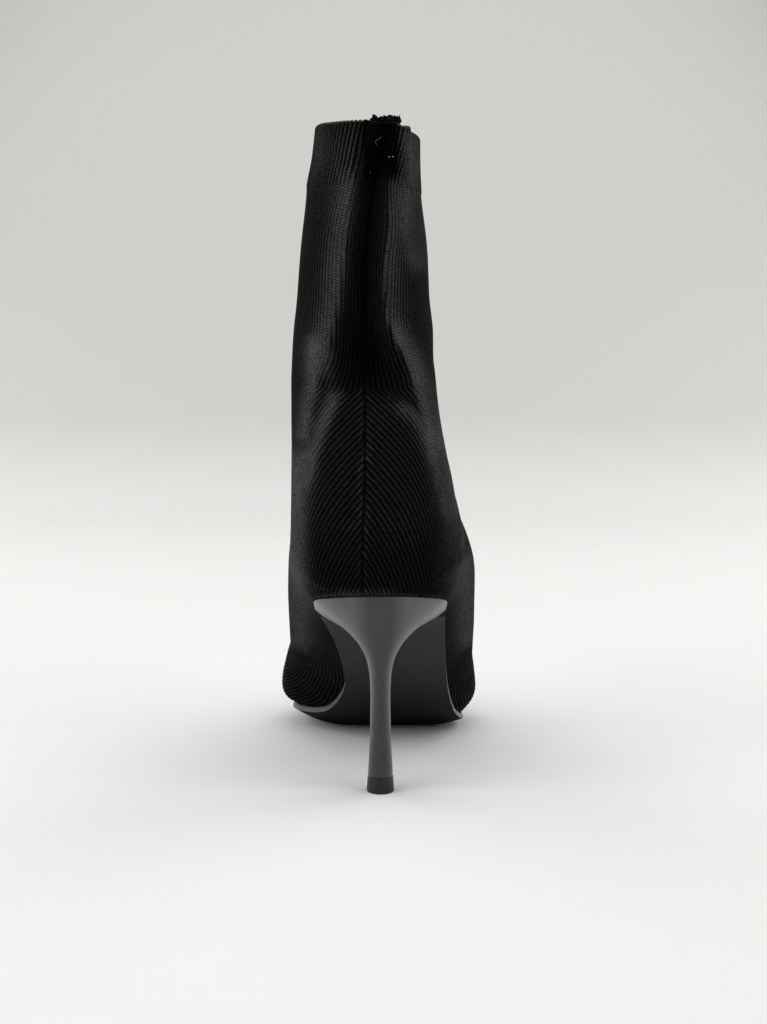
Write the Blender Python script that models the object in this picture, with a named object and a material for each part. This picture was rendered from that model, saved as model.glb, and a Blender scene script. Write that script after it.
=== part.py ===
"""Pull-on knit ankle boot for the right foot, on a flared stiletto heel.

Sizes are millimetres, measured from the back of the heel seat on the heel's own centre line: X to the outer side
of the foot, Y to the toe, Z up from the floor. Each piece is one object in metres, and the origin lies on the
floor under the middle of the boot.
"""
from collections import namedtuple
from math import cos, pi, sin, sqrt

import bpy
import numpy as np

MM = 0.001

# Driving sizes
LENGTH = 240.0          # heel back to toe tip
HEEL_HEIGHT = 87.0      # floor to the upper's edge at the back of the seat
BALL_WIDTH = 93.0       # upper across the ball
COLLAR_HEIGHT = 281.0   # floor to the rim
COLLAR_DIP = 2.4        # the rim's outer side hangs this much lower
WALL = 1.8              # knit with its lining
CUFF_STEP = 0.5         # the ribbed cuff stands this far proud of the shaft
CUFF_DEPTH = 25.0
GAP = 0.3               # between pieces that touch
SOLE_THICKNESS = 2.6
SOLE_EDGE = 0.8         # the sole shows this far beyond the upper's edge
INSOLE_THICKNESS = 2.2
SEAT_RADIUS = 28.0      # round back of the heel seat
SEAM_X = -6.0           # the knit's back seam stands inside the heel's centre line
HEEL_BREAST = 46.0      # front edge of the heel
TREAD_BACK = 158.0      # the sole lies flat from here
TREAD_FRONT = 190.0     # to here
TOE_ROUND = 229.0       # the toe's round end starts here
TOE_X = -4.0            # sideways place of the toe's tip
TOE_FULLNESS = 1.6      # 2 rounds the toe's end as an ellipse, less makes it pointed
TOP_PIECE_HEIGHT = 6.5
TAPE_WIDTH = 11.0
TAPE_THICKNESS = 1.2
TAPE_ABOVE = 1.8        # seam tape above the rim
TAPE_BELOW = 9.0        # and below it, inside the shaft
TAPE_X = 2.6            # middle of the tape's end

TREAD = SOLE_THICKNESS + GAP   # height of the upper's edge where the sole lies flat

# The sole's line. Along is a share of the length, height a share of the heel's rise above the tread, medial and
# lateral are shares of the ball width, and the rises lift the two edges above the sole's middle in millimetres.
SoleRow = namedtuple("SoleRow", "along height medial lateral medial_rise lateral_rise")
SOLE_ROWS = (
    SoleRow(0.000, 1.000, 0.301, 0.301, 0.0, 0.0),
    SoleRow(0.117, 0.922, 0.301, 0.301, 0.0, 0.0),
    SoleRow(0.208, 0.826, 0.275, 0.303, 0.0, 0.0),
    SoleRow(0.312, 0.624, 0.210, 0.312, 0.0, 0.0),
    SoleRow(0.417, 0.375, 0.176, 0.330, 0.0, 0.0),
    SoleRow(0.521, 0.147, 0.262, 0.372, 1.5, 0.8),
    SoleRow(0.610, 0.030, 0.398, 0.418, 6.2, 2.6),
    SoleRow(TREAD_BACK / LENGTH, 0.000, 0.452, 0.428, 8.4, 3.4),
    SoleRow(0.725, 0.000, 0.456, 0.408, 8.4, 3.6),
    SoleRow(TREAD_FRONT / LENGTH, 0.000, 0.396, 0.342, 6.6, 3.2),
    SoleRow(0.875, 0.014, 0.280, 0.214, 3.4, 2.2),
    SoleRow(0.925, 0.036, 0.206, 0.130, 1.4, 1.2),
    SoleRow(TOE_ROUND / LENGTH, 0.054, 0.158, 0.076, 0.0, 0.0),
    SoleRow(1.000, 0.082, 0.158, 0.076, 0.0, 0.0),
)
FLAT_FROM, FLAT_TO = 0.30, 0.80   # the sole's flat middle, as shares of its width from the inner edge

# Sections of the upper from toe to collar. Base lies on the sole or, with a height of its own, on the back line,
# and top on the vamp or front line. Medial and lateral are half widths about the heel's line where the section is
# widest, at the shares medial_at and lateral_at of its height. Crown is the sideways place of its top. Back is 0
# on the foot's open sections and 1 on those that wrap the heel.
Section = namedtuple("Section", "name base_y base_z top_y top_z medial lateral medial_at lateral_at crown back")
ON_SOLE = None
SECTIONS = (
    Section("toe edge", TOE_ROUND, ON_SOLE, LENGTH, 9.8, 14.7, 7.1, 0.01, 0.01, TOE_X, 0.0),
    Section("toe nose", 226.5, ON_SOLE, 239.7, 13.2, 16.6, 9.0, 0.20, 0.20, -4.1, 0.0),
    Section("toe", 221.0, ON_SOLE, 236.2, 18.2, 20.6, 13.5, 0.22, 0.22, -4.2, 0.0),
    Section("toe box", 208.0, ON_SOLE, 225.0, 26.0, 29.6, 23.2, 0.28, 0.28, -4.4, 0.0),
    Section("vamp", TREAD_FRONT, ON_SOLE, 206.0, 34.4, 40.4, 36.0, 0.34, 0.32, -4.7, 0.0),
    Section("ball front", 174.0, ON_SOLE, 188.0, 43.0, 46.6, 43.8, 0.36, 0.32, -5.0, 0.0),
    Section("ball", TREAD_BACK, ON_SOLE, 171.0, 51.5, 49.4, 47.2, 0.36, 0.32, -5.4, 0.0),
    Section("ball back", 140.0, ON_SOLE, 154.0, 63.0, 47.2, 45.8, 0.38, 0.36, -6.0, 0.0),
    Section("waist front", 122.0, ON_SOLE, 140.0, 76.0, 43.4, 44.0, 0.44, 0.42, -6.5, 0.0),
    Section("waist", 104.0, ON_SOLE, 129.5, 88.0, 43.2, 44.0, 0.46, 0.45, -7.0, 0.0),
    Section("waist back", 85.0, ON_SOLE, 121.0, 100.0, 43.0, 43.6, 0.46, 0.46, -7.2, 0.0),
    Section("breast", 65.0, ON_SOLE, 113.5, 113.5, 42.2, 43.0, 0.46, 0.46, -7.3, 0.1),
    Section("seat front", HEEL_BREAST, ON_SOLE, 108.0, 126.0, 41.0, 40.4, 0.46, 0.46, -7.4, 0.5),
    Section("seat", SEAT_RADIUS, ON_SOLE, 104.2, 138.0, 39.6, 37.0, 0.46, 0.46, -7.4, 0.9),
    Section("heel point", 0.0, HEEL_HEIGHT, 100.4, 155.0, 38.5, 33.6, 0.46, 0.46, -7.4, 1.0),
    Section("heel low", -3.2, 98.0, 99.8, 159.5, 38.3, 31.9, 0.46, 0.46, -7.4, 1.0),
    Section("heel curve", -4.8, 112.0, 99.2, 165.0, 38.2, 29.5, 0.47, 0.47, -7.4, 1.0),
    Section("counter", -4.0, 130.0, 98.6, 172.0, 38.2, 26.8, 0.48, 0.48, -7.4, 1.0),
    Section("counter high", -1.0, 150.0, 98.1, 180.5, 38.3, 24.8, 0.48, 0.50, -7.4, 1.0),
    Section("counter top", 3.0, 164.5, 97.7, 188.0, 38.4, 23.8, 0.48, 0.52, -7.4, 1.0),
    Section("ankle fold", 8.6, 173.0, 97.4, 194.0, 38.2, 23.0, 0.47, 0.54, -7.4, 1.0),
    Section("ankle", 10.0, 186.0, 97.1, 202.0, 37.6, 22.4, 0.46, 0.56, -7.3, 1.0),
    Section("shaft low", 9.6, 205.0, 96.8, 214.0, 35.9, 20.8, 0.46, 0.58, -7.1, 1.0),
    Section("shaft", 9.0, 228.0, 96.4, 232.0, 34.0, 19.8, 0.46, 0.60, -6.8, 1.0),
    Section("under cuff", 8.4, COLLAR_HEIGHT - CUFF_DEPTH - 1.0, 96.0, COLLAR_HEIGHT - CUFF_DEPTH - 1.0,
            30.6, 16.9, 0.46, 0.64, -6.2, 1.0),
    Section("cuff", 8.4, COLLAR_HEIGHT - CUFF_DEPTH, 96.0, COLLAR_HEIGHT - CUFF_DEPTH,
            30.4, 16.8, 0.46, 0.64, -6.2, 1.0),
    Section("cuff middle", 8.2, COLLAR_HEIGHT - 0.5 * CUFF_DEPTH, 95.8, COLLAR_HEIGHT - 0.5 * CUFF_DEPTH,
            28.4, 16.4, 0.47, 0.66, -5.6, 1.0),
    Section("collar", 8.0, COLLAR_HEIGHT, 95.5, COLLAR_HEIGHT, 27.0, 16.4, 0.48, 0.68, -5.0, 1.0),
)
SEAT_ROWS = 7
USUAL_ROWS = 2
ROWS_BETWEEN = {"toe edge": 1, "toe nose": 1, "seat": SEAT_ROWS, "heel point": 1, "counter top": 1,
                "ankle fold": 1, "under cuff": 1, "cuff": 1, "cuff middle": 1}
CROWN_FULLNESS = 2.1
HEEL_FULLNESS = 2.4
FOOT_STEPS = 16                        # faces from the sole's edge to the crown, each side
HEEL_STEPS = FOOT_STEPS + SEAT_ROWS    # and from the back seam to the crown: each row of the seat adds one
DENSE_STEPS = 160                      # points that a half section is measured with

# The slack fold down the back of the shaft, by height: its middle, half width and depth.
FoldRow = namedtuple("FoldRow", "height middle half_width depth")
BACK_FOLD = (
    FoldRow(160.0, SEAM_X, 24.0, 0.0),
    FoldRow(172.0, SEAM_X, 22.0, 3.5),
    FoldRow(184.0, -5.5, 17.0, 5.0),
    FoldRow(205.0, -4.5, 10.5, 4.6),
    FoldRow(230.0, -3.5, 9.0, 4.6),
    FoldRow(256.0, -2.5, 8.5, 5.2),
    FoldRow(281.0, -2.0, 8.5, 6.0),
)
FOLD_REACH = 40.0   # the fold dies away this far forward of the back line
DIP_FROM = 220.0    # the rim's dip starts at this height

# Heel sections from the tip up: height at the seat's widest, half width, back and front, and how far the section
# follows the slope of the seat.
HeelRow = namedtuple("HeelRow", "height half_width back front follow")
HEEL_TILT_Y = 28.0
HEEL_ROWS = (
    HeelRow(TOP_PIECE_HEIGHT + GAP, 5.35, 14.4, 26.4, 0.0),
    HeelRow(16.0, 4.85, 14.7, 26.3, 0.0),
    HeelRow(28.0, 4.40, 14.7, 26.6, 0.0),
    HeelRow(40.0, 4.25, 14.1, 27.6, 0.0),
    HeelRow(49.0, 4.60, 12.9, 29.2, 0.0),
    HeelRow(56.0, 5.80, 11.3, 31.2, 0.05),
    HeelRow(62.3, 9.00, 9.2, 34.4, 0.2),
    HeelRow(67.4, 13.8, 6.8, 38.2, 0.45),
    HeelRow(72.2, 20.0, 4.0, 42.2, 0.75),
    HeelRow(75.8, 25.2, 1.8, 44.8, 0.92),
    HeelRow(78.4, 28.4, 0.2, HEEL_BREAST, 1.0),
)
HEEL_ROUND_SHARE = 0.58   # the back of each heel section is round over this share of its depth
HEEL_FRONT_POWER = 5.0
HEEL_BACK_STEPS = 8
HEEL_FRONT_STEPS = 4

Finish = namedtuple("Finish", "colour roughness")
FINISHES = {
    "upper": Finish((0.012, 0.012, 0.012), 0.9),
    "insole": Finish((0.020, 0.020, 0.020), 0.8),
    "outsole": Finish((0.035, 0.036, 0.036), 0.65),
    "heel": Finish((0.070, 0.073, 0.072), 0.35),
    "top_piece": Finish((0.030, 0.030, 0.030), 0.55),
    "seam_tape": Finish((0.008, 0.008, 0.008), 0.9),
}


def smooth_curve(places, values):
    """Return a function that runs smoothly through the values and never overshoots them."""
    places = np.asarray(places, dtype=float)
    values = np.asarray(values, dtype=float)
    widths = np.diff(places)
    rises = np.diff(values) / widths
    slopes = np.concatenate((rises[:1], np.zeros(len(rises) - 1), rises[-1:]))
    for inner in range(1, len(rises)):
        before, after = rises[inner - 1], rises[inner]
        if before * after > 0:
            slopes[inner] = 2 * before * after / (before + after)

    def curve(place):
        place = np.clip(place, places[0], places[-1])
        index = np.clip(np.searchsorted(places, place) - 1, 0, len(widths) - 1)
        width = widths[index]
        t = (place - places[index]) / width
        start = (1 + 2 * t) * (1 - t) ** 2 * values[index] + t * (1 - t) ** 2 * width * slopes[index]
        end = t ** 2 * (3 - 2 * t) * values[index + 1] - t ** 2 * (1 - t) * width * slopes[index + 1]
        return start + end

    return curve


def column_curve(rows, place, value, scale=1.0):
    """Return the smooth curve of one named column of a table against another."""
    places = [getattr(row, place) for row in rows]
    values = [getattr(row, value) * scale for row in rows]
    return smooth_curve(places, values)


SOLE_RISE = column_curve(SOLE_ROWS, "along", "height", HEEL_HEIGHT - TREAD)
MEDIAL_EDGE = column_curve(SOLE_ROWS, "along", "medial", -BALL_WIDTH)
LATERAL_EDGE = column_curve(SOLE_ROWS, "along", "lateral", BALL_WIDTH)
MEDIAL_RISE = column_curve(SOLE_ROWS, "along", "medial_rise")
LATERAL_RISE = column_curve(SOLE_ROWS, "along", "lateral_rise")
FOLD_MIDDLE = column_curve(BACK_FOLD, "height", "middle")
FOLD_HALF_WIDTH = column_curve(BACK_FOLD, "height", "half_width")
FOLD_DEPTH = column_curve(BACK_FOLD, "height", "depth")
BACK_LINE = column_curve([row for row in SECTIONS if row.base_z is not ON_SOLE], "base_z", "base_y")
ROW_CURVES = {
    column: smooth_curve(range(len(SECTIONS)), [getattr(row, column) for row in SECTIONS])
    for column in Section._fields[3:]
}


def bed_height(y):
    """Height of the upper's edge along the sole's middle line."""
    return TREAD + SOLE_RISE(y / LENGTH)


def edge_x(y, side, inset=0.0):
    """Sideways place of the upper's edge; side is -1 for the inner edge and 1 for the outer one."""
    edge = float(LATERAL_EDGE(y / LENGTH) if side > 0 else MEDIAL_EDGE(y / LENGTH)) - side * inset
    if y < SEAT_RADIUS:
        beyond = (SEAT_RADIUS - y) / (SEAT_RADIUS - inset)
        return SEAM_X + (edge - SEAM_X) * sqrt(max(0.0, 1 - beyond ** 2))
    if y > TOE_ROUND:
        beyond = (y - TOE_ROUND) / (LENGTH - TOE_ROUND - inset)
        return TOE_X + (edge - TOE_X) * max(0.0, 1 - beyond ** TOE_FULLNESS) ** (1 / TOE_FULLNESS)
    return edge


def edge_rise(share, y):
    """Lift of the sole's surface above its middle, at a share of its width from the inner edge."""
    inner = max(0.0, FLAT_FROM - share) / FLAT_FROM
    outer = max(0.0, share - FLAT_TO) / (1 - FLAT_TO)
    return inner ** 2 * MEDIAL_RISE(y / LENGTH) + outer ** 2 * LATERAL_RISE(y / LENGTH)


def steep(y):
    """Upright share of a thickness laid square to the sole's slope."""
    step = 1.0
    slope = (bed_height(y + step) - bed_height(y - step)) / (2 * step)
    return sqrt(1 + float(slope) ** 2)


def half_section(section, side, height):
    """Half a section as (across, up its plane, lift), from the sole's edge or seam to the crown."""
    widest = section.lateral if side > 0 else -section.medial
    start = edge_x(section.base_y, side) if section.base_z is ON_SOLE else SEAM_X
    rise = edge_rise(1.0 if side > 0 else 0.0, section.base_y) if section.base_z is ON_SOLE else 0.0
    widest_up = (section.lateral_at if side > 0 else section.medial_at) * height
    t = np.linspace(0.0, 1.0, DENSE_STEPS)
    foot_x = start + (widest - start) * np.sin(t * pi / 2)
    foot_up = t * widest_up
    power = 2 / HEEL_FULLNESS
    cut = min(1.0, max(0.0, (start - SEAM_X) / (widest - SEAM_X)))
    first_turn = np.arcsin(cut ** (1 / power))
    turn = first_turn + t * (pi / 2 - first_turn)
    first_level = cos(first_turn) ** power
    heel_x = SEAM_X + (widest - SEAM_X) * np.sin(turn) ** power
    heel_up = widest_up * (first_level - np.abs(np.cos(turn)) ** power) / first_level
    low_x = foot_x + (heel_x - foot_x) * section.back
    low_up = foot_up + (heel_up - foot_up) * section.back
    low_lift = rise * (1 - t) ** 2
    crown_power = 2 / (TOE_FULLNESS if section.name == "toe edge" else CROWN_FULLNESS)
    top_x = section.crown + (widest - section.crown) * np.abs(np.cos(t * pi / 2)) ** crown_power
    top_up = widest_up + (height - widest_up) * np.sin(t * pi / 2) ** crown_power
    across = np.concatenate((low_x, top_x[1:]))
    up = np.concatenate((low_up, top_up[1:]))
    lift = np.concatenate((low_lift, np.zeros(DENSE_STEPS - 1)))
    return even_steps(np.column_stack((across, up, lift)), side_steps(section))


def side_steps(section):
    """Faces from the section's edge or seam to its crown; each row round the seat has one more."""
    if section.base_z is not ON_SOLE:
        return HEEL_STEPS
    if section.base_y >= SEAT_RADIUS:
        return FOOT_STEPS
    turned = np.arccos(1 - section.base_y / SEAT_RADIUS) / (0.5 * pi)
    return FOOT_STEPS + round(SEAT_ROWS * (1 - turned))


def even_steps(points, steps):
    """The same line with its points spread evenly along its length."""
    lengths = np.concatenate(([0.0], np.cumsum(np.linalg.norm(np.diff(points, axis=0), axis=1))))
    places = np.linspace(0.0, lengths[-1], steps + 1)
    return np.column_stack([np.interp(places, lengths, points[:, axis]) for axis in range(points.shape[1])])


def section_points(section):
    """One row of the upper's outer face, from the inner edge over the crown to the outer edge."""
    base_z = float(bed_height(section.base_y)) if section.base_z is ON_SOLE else section.base_z
    base = np.array((0.0, section.base_y, base_z))
    rise = np.array((0.0, section.top_y - section.base_y, section.top_z - base_z))
    height = np.linalg.norm(rise)
    up = rise / height
    halves = [half_section(section, side, height) for side in (-1, 1)]
    line = np.concatenate((halves[0], halves[1][-2::-1]))
    across, along_plane, lift = (line[:, column:column + 1] for column in range(3))
    points = base + across * np.array((1.0, 0.0, 0.0)) + along_plane * up + lift * np.array((0.0, 0.0, 1.0))
    return slack_fold(points, section)


def slack_fold(points, section):
    """Press the shaft's back fold into a row of points, dip its outer side and set the cuff proud."""
    folded = points.copy()
    depth = FOLD_DEPTH(points[:, 2])
    spread = (points[:, 0] - FOLD_MIDDLE(points[:, 2])) / FOLD_HALF_WIDTH(points[:, 2])
    forward = np.clip((points[:, 1] - section.base_y) / FOLD_REACH, 0.0, 1.0)
    folded[:, 1] += depth * np.exp(-spread ** 2) * (1 - forward) ** 2
    dip = np.clip((points[:, 0] - SEAM_X) / (SECTIONS[-1].lateral - SEAM_X), 0.0, 1.0)
    shaft = np.clip((points[:, 2] - DIP_FROM) / (COLLAR_HEIGHT - DIP_FROM), 0.0, 1.0)
    folded[:, 2] -= COLLAR_DIP * dip ** 2 * shaft
    if section.name in ("cuff", "cuff middle", "collar"):
        middle = points.mean(axis=0)
        outward = (points - middle) * (1.0, 1.0, 0.0)
        folded += CUFF_STEP * outward / np.linalg.norm(outward, axis=1)[:, None]
    return folded


def between(index, share):
    """A section part of the way from one table row to the next."""
    first, second = SECTIONS[index], SECTIONS[index + 1]
    numbers = {column: float(curve(index + share)) for column, curve in ROW_CURVES.items()}
    base_z = ON_SOLE
    base_y = first.base_y + (second.base_y - first.base_y) * share
    if first.name == "seat":
        base_y = SEAT_RADIUS * (1 - cos(0.5 * pi * (1 - share)))
    if first.base_z is not ON_SOLE:
        base_z = first.base_z + (second.base_z - first.base_z) * share
        base_y = float(BACK_LINE(base_z))
    return Section(first.name, base_y, base_z, **numbers)


def all_sections():
    """The table's sections with further ones worked out between them."""
    sections = []
    for index, row in enumerate(SECTIONS[:-1]):
        count = ROWS_BETWEEN.get(row.name, USUAL_ROWS)
        sections.extend(between(index, step / count) for step in range(count))
    return sections + [SECTIONS[-1]]


def mesh_object(name, vertices, faces):
    """Make one closed or open mesh object in metres with its own finish."""
    mesh = bpy.data.meshes.new(name)
    mesh.from_pydata([tuple(np.asarray(vertex) * MM) for vertex in vertices], [], faces)
    mesh.validate()
    mesh.materials.append(finish_material(name))
    piece = bpy.data.objects.new(name, mesh)
    bpy.context.scene.collection.objects.link(piece)
    return piece


def finish_material(name):
    """A plain material in the piece's own colour."""
    finish = FINISHES[name]
    material = bpy.data.materials.new(name)
    material.use_nodes = True
    shader = material.node_tree.nodes["Principled BSDF"]
    shader.inputs["Base Color"].default_value = (*finish.colour, 1.0)
    shader.inputs["Roughness"].default_value = finish.roughness
    shader.inputs["Metallic"].default_value = 0.0
    return material


def make_upper():
    """The knit sock: rows of sections joined into one face, then given its wall inwards."""
    vertices = []
    rows = []
    for section in all_sections():
        points = section_points(section)
        closed = section.base_z is not ON_SOLE
        first = len(vertices)
        vertices.extend(points[:-1] if closed else points)
        row = list(range(first, first + len(points)))
        if closed:
            row[-1] = first
        missing = HEEL_STEPS - side_steps(section)
        rows.append(row[:1] * missing + row + row[-1:] * missing)
    faces = []
    for row, following in zip(rows, rows[1:]):
        for column in range(len(row) - 1):
            corners = (row[column], following[column], following[column + 1], row[column + 1])
            corners = tuple(dict.fromkeys(corners))
            if len(corners) > 2:
                faces.append(corners)
    upper = mesh_object("upper", vertices, faces)
    wall = upper.modifiers.new("wall", "SOLIDIFY")
    wall.thickness = WALL * MM
    wall.offset = -1.0
    wall.use_even_offset = True
    wall.use_quality_normals = True
    smooth(upper)
    return upper


def smooth(piece):
    """Shade a round piece smooth, with its corners kept."""
    piece.data.shade_smooth()
    piece.data.set_sharp_from_angle(angle=pi / 5)


def layer(name, stations, shares, inset, top_offset, bottom_offset):
    """A closed sheet that follows the sole's surface between two offsets, at named stations along the foot."""
    vertices = []
    for y in stations:
        inner, outer = edge_x(y, -1, inset), edge_x(y, 1, inset)
        full_inner, full_outer = edge_x(y, -1), edge_x(y, 1)
        for offset in (top_offset, bottom_offset):
            for share in shares:
                x = inner + (outer - inner) * share
                width_share = min(1.0, max(0.0, (x - full_inner) / max(GAP, full_outer - full_inner)))
                z = bed_height(y) + edge_rise(width_share, y) + offset * steep(y)
                vertices.append((x, y, float(z)))
    columns = len(shares)
    rows = [range(row * 2 * columns, (row + 1) * 2 * columns) for row in range(len(stations))]
    faces = []
    for row, following in zip(rows, rows[1:]):
        for column in range(columns - 1):
            faces.append((row[column], row[column + 1], following[column + 1], following[column]))
            low = column + columns
            faces.append((row[low], following[low], following[low + 1], row[low + 1]))
        last = columns - 1
        faces.append((row[0], following[0], following[columns], row[columns]))
        faces.append((row[last], row[last + columns], following[last + columns], following[last]))
    for row, turned in ((rows[0], False), (rows[-1], True)):
        for column in range(columns - 1):
            end = (row[column], row[column + columns], row[column + columns + 1], row[column + 1])
            faces.append(end[::-1] if turned else end)
    return mesh_object(name, vertices, faces)


def foot_stations(back, toe_inset):
    """Places along the foot where the upper's sections stand, then closer ones round the toe."""
    stations = [section.base_y for section in all_sections() if section.base_z is ON_SOLE]
    middle = [y for y in sorted(stations) if back < y < TOE_ROUND]
    toe_depth = LENGTH - TOE_ROUND - toe_inset
    toe = [TOE_ROUND + toe_depth * sin(0.5 * pi * share) for share in (0.0, 0.3, 0.55, 0.75, 0.9)]
    return middle + toe


def make_outsole():
    """Thin sole from the heel's front to the toe, with a flat tread under the ball."""
    share_places = (0.0, 0.1, 0.2, FLAT_FROM, FLAT_TO, 0.9, 1.0)
    back = HEEL_BREAST + GAP
    stations = [back, *foot_stations(back, -SOLE_EDGE)]
    return layer("outsole", stations, share_places, -SOLE_EDGE, -GAP, -GAP - SOLE_THICKNESS)


def make_insole():
    """Insole that lies on sole and heel, inside the upper's wall."""
    inset = WALL + 3 * GAP
    share_places = (0.0, 0.12, FLAT_FROM, FLAT_TO, 0.9, 1.0)
    seat_depth = SEAT_RADIUS - inset
    seat = [SEAT_RADIUS - seat_depth * cos(0.5 * pi * share) for share in (0.15, 0.3, 0.5, 0.75, 1.0)]
    return layer("insole", seat + foot_stations(SEAT_RADIUS, inset), share_places, inset, INSOLE_THICKNESS, 0.0)


def half_ring(row):
    """Outer half of one heel section, from the middle of its back to the middle of its front."""
    depth = row.front - row.back
    middle = row.back + HEEL_ROUND_SHARE * depth
    points = []
    for step in range(HEEL_BACK_STEPS):
        turn = 0.5 * pi * step / HEEL_BACK_STEPS
        points.append((row.half_width * sin(turn), middle - (middle - row.back) * cos(turn)))
    power = 2 / HEEL_FRONT_POWER
    for step in range(HEEL_FRONT_STEPS + 1):
        turn = 0.5 * pi * step / HEEL_FRONT_STEPS
        points.append((row.half_width * cos(turn) ** power, middle + (row.front - middle) * sin(turn) ** power))
    return points


def stacked_rings(name, rings):
    """Closed solid through rings of the same count, each listed as mirrored pairs from back to front."""
    vertices = [point for ring in rings for point in ring]
    count = len(rings[0])
    loop = [0, *range(1, count - 1, 2), count - 1, *range(count - 2, 0, -2)]
    faces = []
    for level in range(len(rings) - 1):
        low, high = level * count, (level + 1) * count
        for here, after in zip(loop, loop[1:] + loop[:1]):
            faces.append((low + here, low + after, high + after, high + here))
    top = (len(rings) - 1) * count
    for base, turned in ((0, True), (top, False)):
        ladder = [(0, 1, 2)] + [(k, k + 2, k + 3, k + 1) for k in range(1, count - 3, 2)]
        ladder.append((count - 3, count - 1, count - 2))
        for corners in ladder:
            corners = tuple(base + corner for corner in corners)
            faces.append(corners[::-1] if turned else corners)
    return mesh_object(name, vertices, faces)


def paired_ring(half, height_at):
    """Ring as mirrored pairs, with its first and last points on the middle line."""
    first, last = half[0], half[-1]
    ring = [(0.0, first[1], height_at(first[1]))]
    for x, y in half[1:-1]:
        ring.append((x, y, height_at(y)))
        ring.append((-x, y, height_at(y)))
    ring.append((0.0, last[1], height_at(last[1])))
    return ring


def make_heel():
    """Flared heel: sections from the slim tip to the seat, whose slope the upper ones follow."""
    level = float(bed_height(HEEL_TILT_Y))
    rings = []
    for row in HEEL_ROWS:
        rings.append(paired_ring(
            half_ring(row), lambda y, row=row: row.height + row.follow * (float(bed_height(y)) - level)))
    rings.append(paired_ring(half_ring(HEEL_ROWS[-1]), lambda y: float(bed_height(y)) - GAP))
    heel = stacked_rings("heel", rings)
    smooth(heel)
    return heel


def make_top_piece():
    """Wearing tip of the heel, flat underneath and slightly flared."""
    tip = HEEL_ROWS[0]
    flare = 0.5
    rings = []
    for height, grow in ((0.0, flare), (TOP_PIECE_HEIGHT, 0.1)):
        row = tip._replace(half_width=tip.half_width + grow, back=tip.back - grow, front=tip.front + grow)
        rings.append(paired_ring(half_ring(row), lambda y, height=height: height))
    top_piece = stacked_rings("top_piece", rings)
    smooth(top_piece)
    return top_piece


def make_seam_tape():
    """End of the back seam's tape: along the inside of the shaft's wall, and a little above the rim."""
    collar = SECTIONS[-1]
    heights = (COLLAR_HEIGHT - TAPE_BELOW, COLLAR_HEIGHT, COLLAR_HEIGHT + TAPE_ABOVE)
    across = np.linspace(TAPE_X - 0.5 * TAPE_WIDTH, TAPE_X + 0.5 * TAPE_WIDTH, 7)
    points = section_points(collar)
    back = points[points[:, 1] < collar.base_y + FOLD_REACH]
    order = np.argsort(back[:, 0])
    wall_y = np.interp(across, back[order, 0], back[order, 1])
    clear = (WALL + 4 * GAP) * 1.15
    vertices = []
    for height in heights:
        vertices.extend((x, y + clear, height) for x, y in zip(across, wall_y))
        vertices.extend((x, y + clear + TAPE_THICKNESS, height) for x, y in zip(across, wall_y))
    columns = len(across)
    per_row = 2 * columns
    loop = [*range(columns), *range(per_row - 1, columns - 1, -1)]
    faces = []
    for level in range(len(heights) - 1):
        low, high = level * per_row, (level + 1) * per_row
        for here, after in zip(loop, loop[1:] + loop[:1]):
            faces.append((low + here, low + after, high + after, high + here))
    top = (len(heights) - 1) * per_row
    for column in range(columns - 1):
        front = column + columns
        faces.append((column, front, front + 1, column + 1))
        faces.append((top + column, top + column + 1, top + front + 1, top + front))
    return mesh_object("seam_tape", vertices, faces)


def centre_on_floor(pieces):
    """Move every mesh so that the origin is on the floor under the middle of the boot's box."""
    corners = np.array([vertex.co[:] for piece in pieces for vertex in piece.data.vertices])
    low, high = corners.min(axis=0), corners.max(axis=0)
    middle = (low + high) / 2
    for piece in pieces:
        for vertex in piece.data.vertices:
            vertex.co.x -= middle[0]
            vertex.co.y -= middle[1]


def main():
    """Build the boot piece by piece under one parent."""
    for old in list(bpy.data.objects):
        bpy.data.objects.remove(old, do_unlink=True)
    boot = bpy.data.objects.new("boot", None)
    bpy.context.scene.collection.objects.link(boot)
    pieces = [make_upper(), make_insole(), make_outsole(), make_heel(), make_top_piece(), make_seam_tape()]
    centre_on_floor(pieces)
    for piece in pieces:
        piece.parent = boot


main()
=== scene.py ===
"""Looks of a right-foot pull-on ankle boot: black rib knit, thin rubber sole and a lacquered stiletto heel.

Shapes are worked out in millimetres in the last's own frame: X to the outer side of the foot from the heel's
centre line, Y to the toe from the back of the heel seat, Z up from the floor. The meshes are stored in metres in
the frame.
"""
import logging
from collections.abc import Callable, Sequence
from dataclasses import dataclass, field
from enum import Enum
from math import cos, pi, radians, sin, sqrt
from typing import Any, NamedTuple

import bpy
import numpy as np
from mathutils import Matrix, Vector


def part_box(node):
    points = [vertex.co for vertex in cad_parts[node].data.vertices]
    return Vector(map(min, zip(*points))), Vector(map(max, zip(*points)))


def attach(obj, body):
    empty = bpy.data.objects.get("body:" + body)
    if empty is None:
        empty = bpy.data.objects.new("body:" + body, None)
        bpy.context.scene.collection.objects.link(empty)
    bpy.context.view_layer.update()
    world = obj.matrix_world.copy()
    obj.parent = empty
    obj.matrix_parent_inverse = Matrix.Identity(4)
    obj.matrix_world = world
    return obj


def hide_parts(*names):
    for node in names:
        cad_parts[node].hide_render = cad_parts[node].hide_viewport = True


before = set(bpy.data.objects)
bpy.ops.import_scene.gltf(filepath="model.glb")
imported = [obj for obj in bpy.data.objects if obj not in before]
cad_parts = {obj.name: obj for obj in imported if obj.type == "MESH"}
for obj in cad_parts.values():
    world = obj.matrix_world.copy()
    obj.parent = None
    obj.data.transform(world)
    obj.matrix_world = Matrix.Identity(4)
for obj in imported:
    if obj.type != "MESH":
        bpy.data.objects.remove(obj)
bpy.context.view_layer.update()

LOG = logging.getLogger("ankle_boot")
MM = 0.001
BODY = "root"
Curve = Callable[[Any], Any]


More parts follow.
